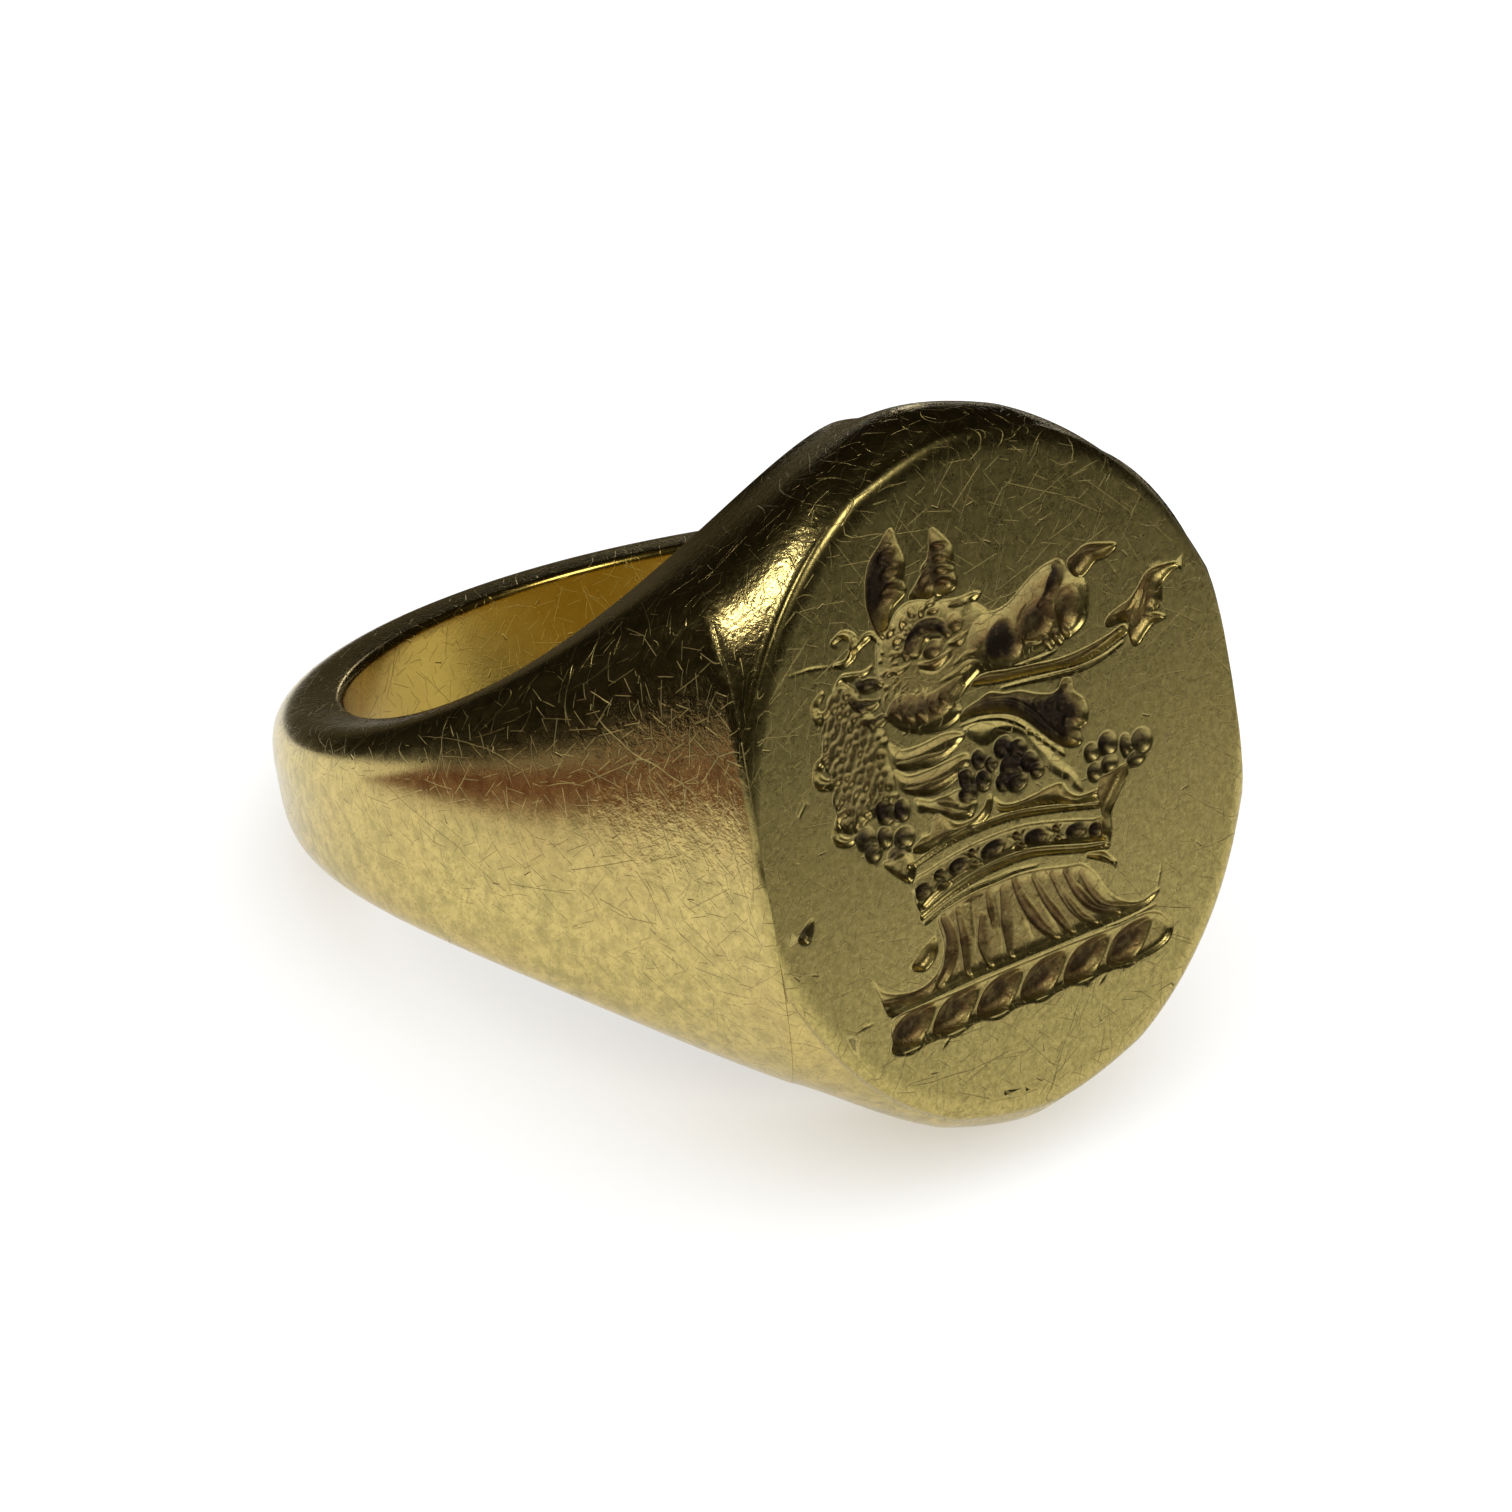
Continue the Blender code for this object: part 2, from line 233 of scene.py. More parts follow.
table_back = 1.4 - face_distance
solder_width = 0.06
seam = math.radians(50.0)
film = solder_width / (bore_radius + 1.5)
sizing = math.pi - math.radians(11.0)
quarter = [math.atan2(face_half_width * math.sin(t),
                      face_distance) for t in spaced(0, math.pi / 2, 44)[:-1]]
stations = quarter + spaced(corner, seam, 26)[:-1] + [seam, seam + film]
stations += spaced(seam + film, sizing - film, 104)[1:] + [sizing] + spaced(sizing, math.pi, 9)[1:]
stations = [-angle for angle in stations[:0:-1]] + stations
halves = np.array([half_section(angle) for angle in stations])
sections = np.concatenate([halves, halves[:, -2:0:-1] * (1, -1)], axis=1)
angles = np.array(stations)[:, None]
outline = np.stack([sections[..., 0] * np.sin(angles), -sections[..., 0] * np.cos(angles),
                    sections[..., 1]], -1)

along = np.gradient(outline, axis=0)
along[0] = along[-1] = outline[1] - outline[-2]
around = np.roll(outline, -1, 1) - np.roll(outline, 1, 1)
facing = np.cross(around, along)
facing /= np.linalg.norm(facing, axis=-1, keepdims=True) + 1e-12
on_face = np.abs(outline[..., 1] + face_distance) < 1e-6
facing[on_face] = outline[on_face] * cushion + (0, -1, 0)
facing /= np.linalg.norm(facing, axis=-1, keepdims=True)

leaned = outline @ np.array(Matrix.Rotation(math.radians(-rest_angle), 3, "X")).T
seat = Vector((0, -(leaned[..., 1].min() + leaned[..., 1].max()) / 2, -leaned[..., 2].min())) / 1000
laid_down = (Matrix.Translation(seat) @ Matrix.Rotation(math.radians(-rest_angle), 4, "X")
             @ Matrix.Scale(0.001, 4))


def blank(first, last):
    """The stretch of the body between two stations, closed at both ends, with the body's own normals kept."""
    rows = [i for i, angle in enumerate(stations) if first - 1e-9 <= angle <= last + 1e-9]
    if first > last:
        rows = [i for i, angle in enumerate(stations) if angle >= first - 1e-9]
        rows += [i for i, angle in enumerate(stations) if angle <= last + 1e-9][1:]
    bm = bmesh.new()
    smooth = bm.verts.layers.float_vector.new("smooth")
    across = outline.shape[1]
    made = bmesh.ops.create_grid(bm, x_segments=len(rows) - 1, y_segments=across, size=1.0)
    for vert in made["verts"]:
        row = rows[round((vert.co.x + 1) / 2 * (len(rows) - 1))]
        column = round((vert.co.y + 1) / 2 * across) % across
        vert.co = outline[row, column]
        vert[smooth] = facing[row, column]
    bmesh.ops.remove_doubles(bm, verts=bm.verts, dist=1e-5)
    close_ends(bm)
    return bm


def close_ends(bm):
    """Flat faces over whatever openings a cut has left."""
    edges = [edge for edge in bm.edges if edge.is_boundary]
    if edges:
        bmesh.ops.holes_fill(bm, edges=edges)
    bmesh.ops.recalc_face_normals(bm, faces=bm.faces)


def finished(bm, name, *nodes):
    """Lays a piece down on the table, as its CAD node lies, and stands it for that node."""
    mesh = bpy.data.meshes.new(name)
    bm.transform(laid_down)
    bm.to_mesh(mesh)
    bm.free()
    mesh.polygons.foreach_set("use_smooth", [True] * len(mesh.polygons))
    kept = np.zeros(len(mesh.vertices) * 3, np.float32)
    mesh.attributes["smooth"].data.foreach_get("vector", kept)
    kept = kept.reshape(-1, 3) @ np.array(laid_down.to_3x3().normalized()).T
    own = np.zeros(len(mesh.vertices) * 3, np.float32)
    mesh.vertex_normals.foreach_get("vector", own)
    own = own.reshape(-1, 3)
    bare = np.linalg.norm(kept, axis=1) < 0.5
    kept[bare] = own[bare]
    mesh.normals_split_custom_set_from_vertices(kept.tolist())
    mesh.attributes.remove(mesh.attributes["smooth"])
    piece = bpy.data.objects.new(name, mesh)
    bpy.context.collection.objects.link(piece)
    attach(piece, "root")
    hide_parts(*nodes)
    return piece


# --- The seal table: the oval plate that carries the engraving ---
# A plate of yellow gold, sawn flat behind and soldered to the head. Its front is filed and stoned
# flat, its edge is broken, and a horned beast's head in a crown collar is cut into it by hand.

# The crest is drawn in millimetres on the face, x to the right and z up, and cut with four tools:
# hollow scoops out a closed outline, groove and ridge follow an open line, dimple is one round scoop.

grain = 0.02
left, low = -7.6, -7.0
across_x = left + grain * np.arange(int(15.4 / grain))
up_z = low + grain * np.arange(int(15.2 / grain))
sunk = np.zeros((len(up_z), len(across_x)))
# how much dirt and painted shade darken each point of the engraving
dirt_and_shade = np.zeros_like(sunk)


def curve(points, closed=False):
    """A smooth line through the points."""
    p = np.array(points, float)
    p = np.vstack([p[-1:], p, p[:2]] if closed else [2 * p[0] - p[1], p, 2 * p[-1] - p[-2]])
    t = np.arange(6)[:, None] / 6
    parts = []
    for a, b, c, d in zip(p, p[1:], p[2:], p[3:]):
        bend, twist = 2 * a - 5 * b + 4 * c - d, 3 * b - a - 3 * c + d
        parts.append(0.5 * (2 * b + (c - a) * t + bend * t ** 2 + twist * t ** 3))
    return np.vstack(parts if closed else parts + [p[-2:-1]])


def window(path, margin):
    """The part of the drawing round a path: where it is, and its points."""
    first = np.maximum(((path.min(0) - margin - (left, low)) / grain).astype(int), 0)
    last = ((path.max(0) + margin - (left, low)) / grain).astype(int) + 2
    place = np.s_[first[1]:last[1], first[0]:last[0]]
    return place, np.stack(np.meshgrid(across_x[first[0]:last[0]], up_z[first[1]:last[1]]), -1)


def nearest(spots, starts, ends):
    """How far each spot is from a line of straight steps, and how far along it its nearest point lies."""
    best = np.full(spots.shape[:2], 1e9)
    along = np.zeros(spots.shape[:2])
    for i, (a, b) in enumerate(zip(starts, ends)):
        step = b - a
        t = np.clip((spots - a) @ step / max(step @ step, 1e-12), 0, 1)
        away = np.hypot(*np.moveaxis(spots - a - t[..., None] * step, -1, 0))
        closer = away < best
        best[closer] = away[closer]
        along[closer] = (i + t[closer]) / len(starts)
    return best, along


def hollow(points, depth, wall, base=0.0, dirty_and_shaded=0.0, flush=False):
    """Scoops out a closed outline: steep at its edge, level where it is further than wall from it.
    A flush hollow runs into what is cut already instead of going deeper."""
    path = curve(points, closed=True)
    place, spots = window(path, 2 * grain)
    ends = np.roll(path, -1, 0)
    away, _ = nearest(spots, path, ends)
    inside = np.zeros(away.shape, bool)
    for a, b in zip(path, ends):
        crosses = (a[1] > spots[..., 1]) != (b[1] > spots[..., 1])
        beyond = (b[0] - a[0]) * (spots[..., 1] - a[1]) / (b[1] - a[1] + 1e-12) + a[0] > spots[..., 0]
        inside ^= crosses & beyond
    share = np.clip(away / wall, 0, 1)
    cut = np.where(inside, base * np.clip(away / 0.06, 0, 1) + (depth - base) * share * (2 - share), 0)
    sunk[place] = np.maximum(sunk[place], cut) if flush else sunk[place] + cut
    dirt_and_shade[place] = np.maximum(dirt_and_shade[place], np.where(inside, dirty_and_shaded * share, 0))


def groove(points, width, depth, taper=(0.25, 1.0, 0.25), round_cut=False, dirty_and_shaded=0.0):
    """Ploughs an open line with the graver, narrower where the taper is less."""
    path = curve(points)
    place, spots = window(path, width)
    away, along = nearest(spots, path[:-1], path[1:])
    swelling = np.interp(along, (0, 0.5, 1), taper)
    share = np.clip(away / (0.5 * width * swelling), 0, 1)
    sunk[place] += depth * swelling * (np.sqrt(1 - share ** 2) if round_cut else 1 - share)
    dirt_and_shade[place] = np.maximum(dirt_and_shade[place], dirty_and_shaded * (1 - share ** 2))


def ridge(points, width, height, taper=(0.4, 1.0, 0.4)):
    """Leaves a rounded line standing in a hollow."""
    path = curve(points)
    place, spots = window(path, width)
    away, along = nearest(spots, path[:-1], path[1:])
    swelling = np.interp(along, (0, 0.5, 1), taper)
    share = np.clip(away / (0.5 * width * swelling), 0, 1)
    sunk[place] -= height * swelling * (1 - share ** 2)


def dimple(x, z, wide, high, depth, turn=0.0, fullness=0.8, dirty_and_shaded=0.0):
    """One round or oval scoop."""
    reach = max(wide, high)
    place, spots = window(np.array([[x, z]]), reach)
    dx, dz = spots[..., 0] - x, spots[..., 1] - z
    c, s = math.cos(math.radians(turn)), math.sin(math.radians(turn))
    share = np.clip(((c * dx + s * dz) / wide) ** 2 + ((c * dz - s * dx) / high) ** 2, 0, 1)
    sunk[place] += depth * (1 - share) ** fullness
    dirt_and_shade[place] = np.maximum(dirt_and_shade[place], dirty_and_shaded * (1 - share) ** 0.5)


# the two horns, serrated on their right sides
hollow([(-3.02, 4.75), (-3.28, 5.1), (-3.42, 5.7), (-3.36, 6.3), (-3.12, 6.85), (-2.72, 7.18), (-2.28, 7.5),
        (-2.14, 7.05), (-2.02, 6.55), (-2.16, 6.1), (-2.15, 5.75), (-2.6, 5.5), (-2.86, 5.1)], 0.30, 0.34,
       0.12, 0.6)
groove([(-3.08, 4.9), (-3.15, 5.6), (-2.95, 6.4), (-2.55, 6.95)], 0.16, 0.10)
for x, z in ((-2.38, 6.78), (-2.4, 6.32), (-2.44, 5.86)):
    dimple(x, z, 0.3, 0.15, 0.16, 20)
    ridge([(x - 0.15, z + 0.2), (x + 0.2, z + 0.26)], 0.12, 0.10)
hollow([(-2.05, 5.55), (-1.75, 5.85), (-1.42, 6.15), (-1.18, 6.55), (-1.02, 7.08), (-0.8, 6.95),
        (-0.45, 6.45), (-0.5, 5.95), (-0.52, 5.4), (-1.0, 5.32), (-1.55, 5.42)], 0.24, 0.3, 0.08, 0.4)
for z in (6.55, 6.2, 5.88, 5.58):
    dimple(-0.72, z, 0.24, 0.10, 0.14, -8)
    dimple(-1.3, z - 0.35, 0.28, 0.12, 0.10, 25)

# the head, from the forehead over the long snout and back under the cheek
hollow([(-3.45, 4.1), (-3.3, 4.75), (-2.9, 4.95), (-2.5, 5.35), (-1.9, 5.46), (-1.2, 5.2), (-0.5, 5.06),
        (0.0, 5.06), (0.26, 4.95), (0.0, 4.8), (0.3, 4.5), (0.6, 3.9), (0.4, 3.2), (-0.3, 2.9), (-1.0, 2.5),
        (-1.0, 2.05), (-1.6, 1.85), (-2.3, 1.95), (-2.95, 2.25), (-3.42, 2.75), (-3.55, 3.4)], 0.15, 0.6,
       0.06)
hollow([(-0.3, 4.3), (0.15, 4.46), (0.6, 4.34), (1.1, 4.42), (1.6, 4.68), (2.1, 4.92), (2.7, 5.04),
        (3.05, 4.92), (3.2, 4.55), (3.62, 4.3), (3.7, 3.85), (3.55, 3.25), (3.1, 2.95), (2.5, 2.9),
        (1.7, 2.8), (0.9, 2.76), (0.25, 2.84), (-0.4, 3.05), (-0.6, 3.6)], 0.30, 0.95, 0.04, flush=True)
hollow([(3.22, 4.86), (3.5, 4.98), (3.85, 5.1), (4.3, 5.02), (4.9, 4.8), (4.5, 4.62), (4.1, 4.6),
        (3.8, 4.42), (3.55, 4.34), (3.3, 4.5)], 0.26, 0.26, 0.08, dirty_and_shaded=0.4)
groove([(2.85, 4.95), (2.95, 4.65), (2.7, 4.2), (2.35, 3.9)], 0.40, 0.18, (0.4, 1.0, 0.3), True, dirty_and_shaded=0.8)
hollow([(0.2, 3.1), (0.35, 3.6), (0.75, 3.98), (1.25, 3.9), (1.5, 3.4), (1.3, 2.95), (0.8, 2.85)], 0.14,
       0.35, dirty_and_shaded=0.95)
hollow([(1.5, 3.1), (1.6, 3.8), (2.1, 4.1), (2.6, 4.0), (2.6, 3.4), (2.1, 3.05)], 0.10, 0.35, dirty_and_shaded=0.5)
hollow([(2.75, 3.3), (2.8, 3.9), (3.1, 4.2), (3.5, 4.0), (3.45, 3.5), (3.1, 3.1)], 0.12, 0.3, dirty_and_shaded=0.4)
ridge([(1.6, 3.14), (1.9, 3.08), (2.3, 3.14)], 0.14, 0.12)
ridge([(1.45, 3.2), (1.55, 3.75), (1.85, 4.1)], 0.2, 0.06)
ridge([(2.66, 3.2), (2.7, 3.8), (2.95, 4.2)], 0.2, 0.08)
for x, z in ((2.2, 2.95), (2.55, 3.0), (2.85, 3.08)):
    dimple(x, z, 0.13, 0.2, 0.12, dirty_and_shaded=0.5)

# the eye under its brow, and the folds and lobes round it
groove([(-2.35, 4.05), (-2.1, 4.42), (-1.65, 4.6), (-1.15, 4.52), (-0.9, 4.2)], 0.4, 0.20, (0.5, 1.0, 0.5),
       True, dirty_and_shaded=0.9)
dimple(-1.5, 3.95, 0.3, 0.22, 0.16, dirty_and_shaded=0.5)
ridge([(-1.95, 3.9), (-1.6, 4.24), (-1.15, 4.15)], 0.14, 0.10)
groove([(-2.0, 3.72), (-1.5, 3.55), (-0.95, 3.72)], 0.24, 0.12, round_cut=True)
ridge([(-2.0, 3.58), (-1.5, 3.4), (-0.9, 3.58)], 0.12, 0.06)
dimple(-0.65, 4.42, 0.3, 0.28, 0.12, fullness=1.2)
groove([(-0.95, 3.95), (-0.6, 3.9), (-0.3, 4.05)], 0.24, 0.10, round_cut=True)
groove([(-2.9, 4.1), (-2.55, 4.2), (-2.2, 4.0), (-1.9, 3.9)], 0.16, 0.10)
groove([(-3.1, 3.9), (-2.7, 3.75), (-2.3, 3.8)], 0.2, 0.08)
groove([(-1.4, 3.05), (-0.8, 3.1), (-0.3, 3.2), (0.2, 3.0)], 0.24, 0.08)
groove([(-0.9, 3.35), (-0.4, 3.45), (0.1, 3.4)], 0.16, 0.08)
for x, z, wide, high, turn in ((-2.75, 4.85, 0.2, 0.1, 30), (-2.3, 4.95, 0.18, 0.1, 60),
                               (-2.0, 5.15, 0.16, 0.1, 100), (-1.65, 5.05, 0.16, 0.09, 70),
                               (-2.55, 4.55, 0.2, 0.09, 20), (-1.3, 4.95, 0.2, 0.08, -10),
                               (-0.5, 4.9, 0.32, 0.07, -8)):
    dimple(x, z, wide, high, 0.10, turn)

# the cheek, deepest at its lower edge, with the teeth of the jaw behind it
hollow([(-3.35, 2.75), (-3.0, 2.5), (-2.4, 2.2), (-1.8, 2.1), (-1.2, 2.25), (-0.8, 2.65), (-0.7, 3.0),
        (-1.1, 2.95), (-1.7, 2.85), (-2.3, 3.0), (-2.9, 3.1)], 0.14, 0.35, dirty_and_shaded=0.45)
for x, z in ((-2.95, 2.62), (-2.55, 2.42), (-2.1, 2.35), (-1.65, 2.4), (-1.3, 2.5)):
    dimple(x, z, 0.16, 0.22, 0.10, 30, 1.2, 0.3)
strokes = random.Random(9)
for _ in range(70):
    turn = math.radians(strokes.uniform(95, 275))
    out = strokes.uniform(0.75, 1.55)
    x, z = -1.75 + out * math.cos(turn), 3.75 + 0.95 * out * math.sin(turn)
    long = strokes.uniform(0.15, 0.32)
    bend = turn + strokes.uniform(-0.5, 0.5)
    groove([(x, z), (x + 0.5 * long * math.cos(turn), z + 0.5 * long * math.sin(turn)),
            (x + long * math.cos(bend), z + long * math.sin(bend))], strokes.uniform(0.07, 0.13),
           strokes.uniform(0.03, 0.08))

# the barbed tongue
hollow([(-0.55, 2.72), (0.0, 2.55), (0.6, 2.44), (1.2, 2.36), (2.0, 2.24), (3.0, 2.1), (3.8, 2.16),
        (4.4, 2.3), (4.8, 2.42), (4.7, 2.62), (4.2, 2.52), (3.6, 2.44), (2.9, 2.4), (2.2, 2.44),
        (1.5, 2.56), (0.7, 2.68), (0.0, 2.82)], 0.20, 0.12, 0.08)
groove([(0.4, 2.3), (1.2, 2.2), (2.2, 2.05), (3.0, 1.96), (3.9, 2.02), (4.6, 2.2)], 0.14, 0.12)
groove([(0.2, 3.0), (1.0, 2.72), (1.8, 2.66), (2.4, 2.7)], 0.12, 0.08)
hollow([(4.15, 2.78), (4.22, 2.98), (4.6, 3.12), (5.0, 3.2), (5.35, 3.42), (5.7, 3.72), (6.1, 3.8),
        (6.6, 3.74), (6.9, 3.62), (6.5, 3.5), (6.2, 3.3), (6.08, 2.9), (5.85, 2.62), (6.15, 2.4),
        (5.7, 2.36), (5.4, 2.2), (5.12, 2.0), (4.9, 2.05), (4.84, 2.4), (4.9, 2.66), (4.6, 2.76)], 0.26,
       0.3, 0.06)
groove([(4.7, 2.9), (5.2, 2.95), (5.6, 3.3), (5.9, 3.6), (6.3, 3.68)], 0.22, 0.10, round_cut=True)
ridge([(5.0, 2.3), (5.4, 2.8), (5.75, 3.2)], 0.14, 0.10)
ridge([(5.3, 2.4), (5.65, 2.85), (5.9, 3.2)], 0.10, 0.08)
groove([(6.5, 3.72), (6.9, 3.66), (7.3, 3.5)], 0.10, 0.06, (1.0, 0.6, 0.1))
groove([(6.9, 4.05), (7.2, 3.95), (7.4, 3.7)], 0.06, 0.03)

# the lower jaw, with its lips and the strip of beard under it
hollow([(0.0, 2.28), (0.5, 2.1), (1.0, 2.0), (1.6, 1.72), (2.1, 1.6), (2.45, 1.85), (2.7, 1.75),
        (2.75, 1.4), (2.98, 1.15), (3.08, 0.8), (2.98, 0.5), (2.72, 0.4), (2.7, 0.05), (2.45, 0.0),
        (2.15, 0.12), (1.85, 0.35), (1.55, 0.65), (1.25, 1.0), (0.95, 1.3), (0.5, 1.58), (-0.1, 1.78),
        (-0.7, 1.9), (-1.1, 1.9), (-0.9, 2.1), (-0.4, 2.2)], 0.32, 0.34, 0.08, 0.8)
ridge([(-0.8, 2.05), (0.1, 2.0), (0.9, 1.75), (1.5, 1.25), (1.9, 0.75), (2.3, 0.3)], 0.14, 0.12)
groove([(-1.1, 1.75), (-0.4, 1.7), (0.3, 1.5), (0.8, 1.2), (1.2, 0.8), (1.7, 0.3)], 0.18, 0.10)
for x, z in ((1.7, 1.45), (2.1, 1.25), (2.5, 1.1), (2.2, 0.75), (2.6, 0.65)):
    dimple(x, z, 0.2, 0.16, 0.10, 40, 1.2)
for x, z in ((2.3, 1.7), (2.6, 1.5)):
    ridge([(x - 0.1, z - 0.12), (x + 0.05, z + 0.14)], 0.12, 0.10)
for i in range(5):
    groove([(1.0 + 0.22 * i, 0.95 - 0.2 * i), (1.2 + 0.22 * i, 0.75 - 0.22 * i)], 0.14, 0.12)

# the throat and the broad folds of the neck inside the collar
hollow([(-1.05, 1.62), (-0.7, 1.15), (-0.35, 1.0), (0.1, 1.1), (0.5, 1.05), (0.85, 0.82), (1.1, 0.4),
        (1.35, 0.0), (1.5, -0.35), (1.9, -0.72), (2.05, -0.8), (2.2, -1.08), (2.5, -1.26), (2.35, -0.7),
        (1.9, -0.2), (1.6, 0.2), (1.25, 0.6), (0.95, 1.05), (0.45, 1.4), (-0.2, 1.6), (-0.7, 1.7)], 0.07,
       0.3)
neck_folds = (
    ([(-3.5, 2.05), (-3.1, 1.75), (-2.5, 1.68), (-1.8, 1.72), (-1.3, 1.65), (-1.05, 1.45), (-1.5, 1.22),
      (-2.2, 1.12), (-2.9, 1.16), (-3.4, 1.42)], 0.20),
    ([(-3.45, 1.3), (-3.0, 1.02), (-2.4, 0.96), (-1.7, 0.98), (-1.1, 0.98), (-0.98, 0.72), (-1.4, 0.45),
      (-2.0, 0.3), (-2.6, 0.36), (-3.15, 0.6), (-3.4, 0.9)], 0.22),
    ([(-2.95, 0.35), (-2.4, 0.12), (-1.9, 0.1), (-1.45, 0.12), (-1.3, -0.15), (-1.0, -0.4), (-1.3, -0.7),
      (-1.8, -0.55), (-2.2, -0.3), (-2.6, -0.1), (-2.9, 0.0)], 0.18),
)
for outline_points, deep in neck_folds:
    hollow(outline_points, deep, 0.5, 0.04)
neck_creases = (
    [(-3.3, 1.4), (-2.6, 1.22), (-1.9, 1.16), (-1.3, 1.3)],
    [(-3.2, 0.68), (-2.6, 0.46), (-2.0, 0.42), (-1.4, 0.56)],
    [(-2.6, 0.0), (-2.2, -0.22), (-1.7, -0.5), (-1.25, -0.62)],
    [(-2.3, 0.1), (-1.9, -0.08), (-1.5, -0.3)],
)
for points in neck_creases:
    groove(points, 0.24, 0.12, round_cut=True, dirty_and_shaded=0.4)

# the mane down the back of the neck: small scales, tufts that curl outwards, three dark locks
mane = curve([(-5.35, 0.3), (-5.5, 0.95), (-5.45, 1.6), (-5.6, 2.3), (-5.45, 3.0), (-5.2, 3.6),
              (-4.75, 4.05), (-4.4, 3.9), (-4.15, 3.4), (-3.85, 2.95), (-3.6, 2.4), (-3.55, 1.6),
              (-3.5, 0.9), (-3.65, 0.45), (-4.4, 0.4), (-4.9, 0.15)], True)
hollow(mane[::6], 0.13, 0.2, 0.05)
rows = random.Random(4)
for row in range(17):
    for column in range(9):
        x = -5.7 + 0.27 * (column + 0.5 * (row % 2)) + rows.uniform(-0.05, 0.05)
        z = 0.2 + 0.235 * row + rows.uniform(-0.05, 0.05)
        at = np.array([x - 0.12, z])
        ends = np.roll(mane, -1, 0)
        crossing = (mane[:, 1] > z) != (ends[:, 1] > z)
        lean = (ends[:, 0] - mane[:, 0]) * (z - mane[:, 1])
        beyond = lean / (ends[:, 1] - mane[:, 1] + 1e-12) + mane[:, 0] > x
        if (crossing & beyond).sum() % 2:
            dimple(x, z, rows.uniform(0.12, 0.2), rows.uniform(0.08, 0.13), rows.uniform(0.02, 0.08),
                   rows.uniform(30, 80), 1.1, 0.3)
for points, width, deep in (
        ([(-4.7, 5.2), (-4.35, 5.3), (-4.05, 5.1), (-4.1, 4.75), (-4.4, 4.55), (-4.75, 4.6)], 0.26, 0.16),
        ([(-4.1, 4.7), (-3.8, 4.9), (-3.45, 5.0), (-3.2, 4.7)], 0.2, 0.12),
        ([(-5.3, 4.0), (-5.6, 3.75), (-5.5, 3.4), (-5.1, 3.5), (-4.85, 3.9)], 0.28, 0.16),
        ([(-4.9, 3.98), (-4.6, 4.2), (-4.3, 4.15), (-3.9, 4.1), (-3.6, 4.2)], 0.16, 0.10),
        ([(-5.35, 2.35), (-5.8, 2.2), (-5.85, 1.8), (-5.5, 1.6), (-5.15, 1.55)], 0.3, 0.18),
        ([(-5.0, 0.7), (-5.4, 0.6), (-5.6, 0.2), (-5.3, -0.05), (-4.9, 0.0)], 0.26, 0.16),
        ([(-4.15, 4.1), (-4.0, 3.8), (-3.6, 3.72), (-3.3, 3.6)], 0.34, 0.22),
        ([(-4.35, 3.5), (-4.15, 3.3), (-3.8, 3.2), (-3.5, 3.25)], 0.32, 0.22),
        ([(-4.1, 2.85), (-3.8, 2.7), (-3.5, 2.75), (-3.3, 2.7)], 0.26, 0.20),
        ([(-4.9, 4.62), (-5.5, 4.75), (-6.2, 4.8)], 0.06, 0.03)):
    groove(points, width, deep, (0.4, 1.0, 0.3), True, 0.8 if deep > 0.19 else 0.0)

# the collar is an open crown: two trefoils and a half one stand up from a jewelled band
for x, z, wide, high, deep in (
        (-3.95, 0.3, 0.3, 0.32, 0.30), (-3.42, 0.22, 0.26, 0.3, 0.28), (-4.72, -0.15, 0.34, 0.32, 0.22),
        (-4.55, -0.55, 0.3, 0.28, 0.18), (-4.1, -0.3, 0.26, 0.3, 0.24), (-3.5, -0.52, 0.36, 0.3, 0.26),
        (-3.75, -0.85, 0.4, 0.2, 0.16), (-1.2, 0.32, 0.26, 0.28, 0.32), (-1.2, -0.08, 0.28, 0.26, 0.32),
        (-0.68, 0.1, 0.26, 0.28, 0.34), (-0.72, 0.7, 0.24, 0.26, 0.28), (-0.35, 0.45, 0.2, 0.2, 0.2),
        (0.15, 0.75, 0.34, 0.28, 0.32), (0.6, 0.55, 0.3, 0.26, 0.28), (0.3, 0.15, 0.4, 0.36, 0.34),
        (0.9, 0.1, 0.3, 0.26, 0.28), (1.1, -0.22, 0.24, 0.2, 0.24), (0.4, -0.32, 0.36, 0.22, 0.28),
        (-0.05, -0.15, 0.26, 0.24, 0.24), (2.98, -0.35, 0.28, 0.26, 0.22), (3.55, -0.3, 0.34, 0.34, 0.26),
        (2.98, -0.9, 0.27, 0.26, 0.24), (3.5, -0.85, 0.3, 0.26, 0.2), (4.15, -0.55, 0.22, 0.34, 0.22),
        (4.68, -0.6, 0.38, 0.36, 0.24), (4.4, -1.0, 0.34, 0.2, 0.18)):
    dimple(x, z, wide, high, 0.85 * deep, 0, 1.1, 0.95 if -1.6 < x < 1.5 or z > -0.1 and x < 0 else 0.55)
for x, z in ((-3.65, 0.0), (-0.95, 0.12), (-0.2, 0.3), (0.62, 0.3), (3.25, -0.6), (4.4, -0.75),
             (-4.4, -0.35)):
    dimple(x, z, 0.1, 0.1, -0.12)
hollow([(3.1, -1.15), (3.5, -1.1), (4.1, -1.05), (4.0, -1.35), (3.6, -1.75), (3.3, -2.1), (3.2, -2.65),
        (3.02, -2.9), (3.0, -2.2), (3.0, -1.6)], 0.22, 0.2, 0.06)
hollow([(-4.3, -1.0), (-3.9, -0.95), (-3.5, -0.9), (-3.3, -1.3), (-3.45, -1.7), (-3.7, -1.65)], 0.14, 0.2,
       0.04)
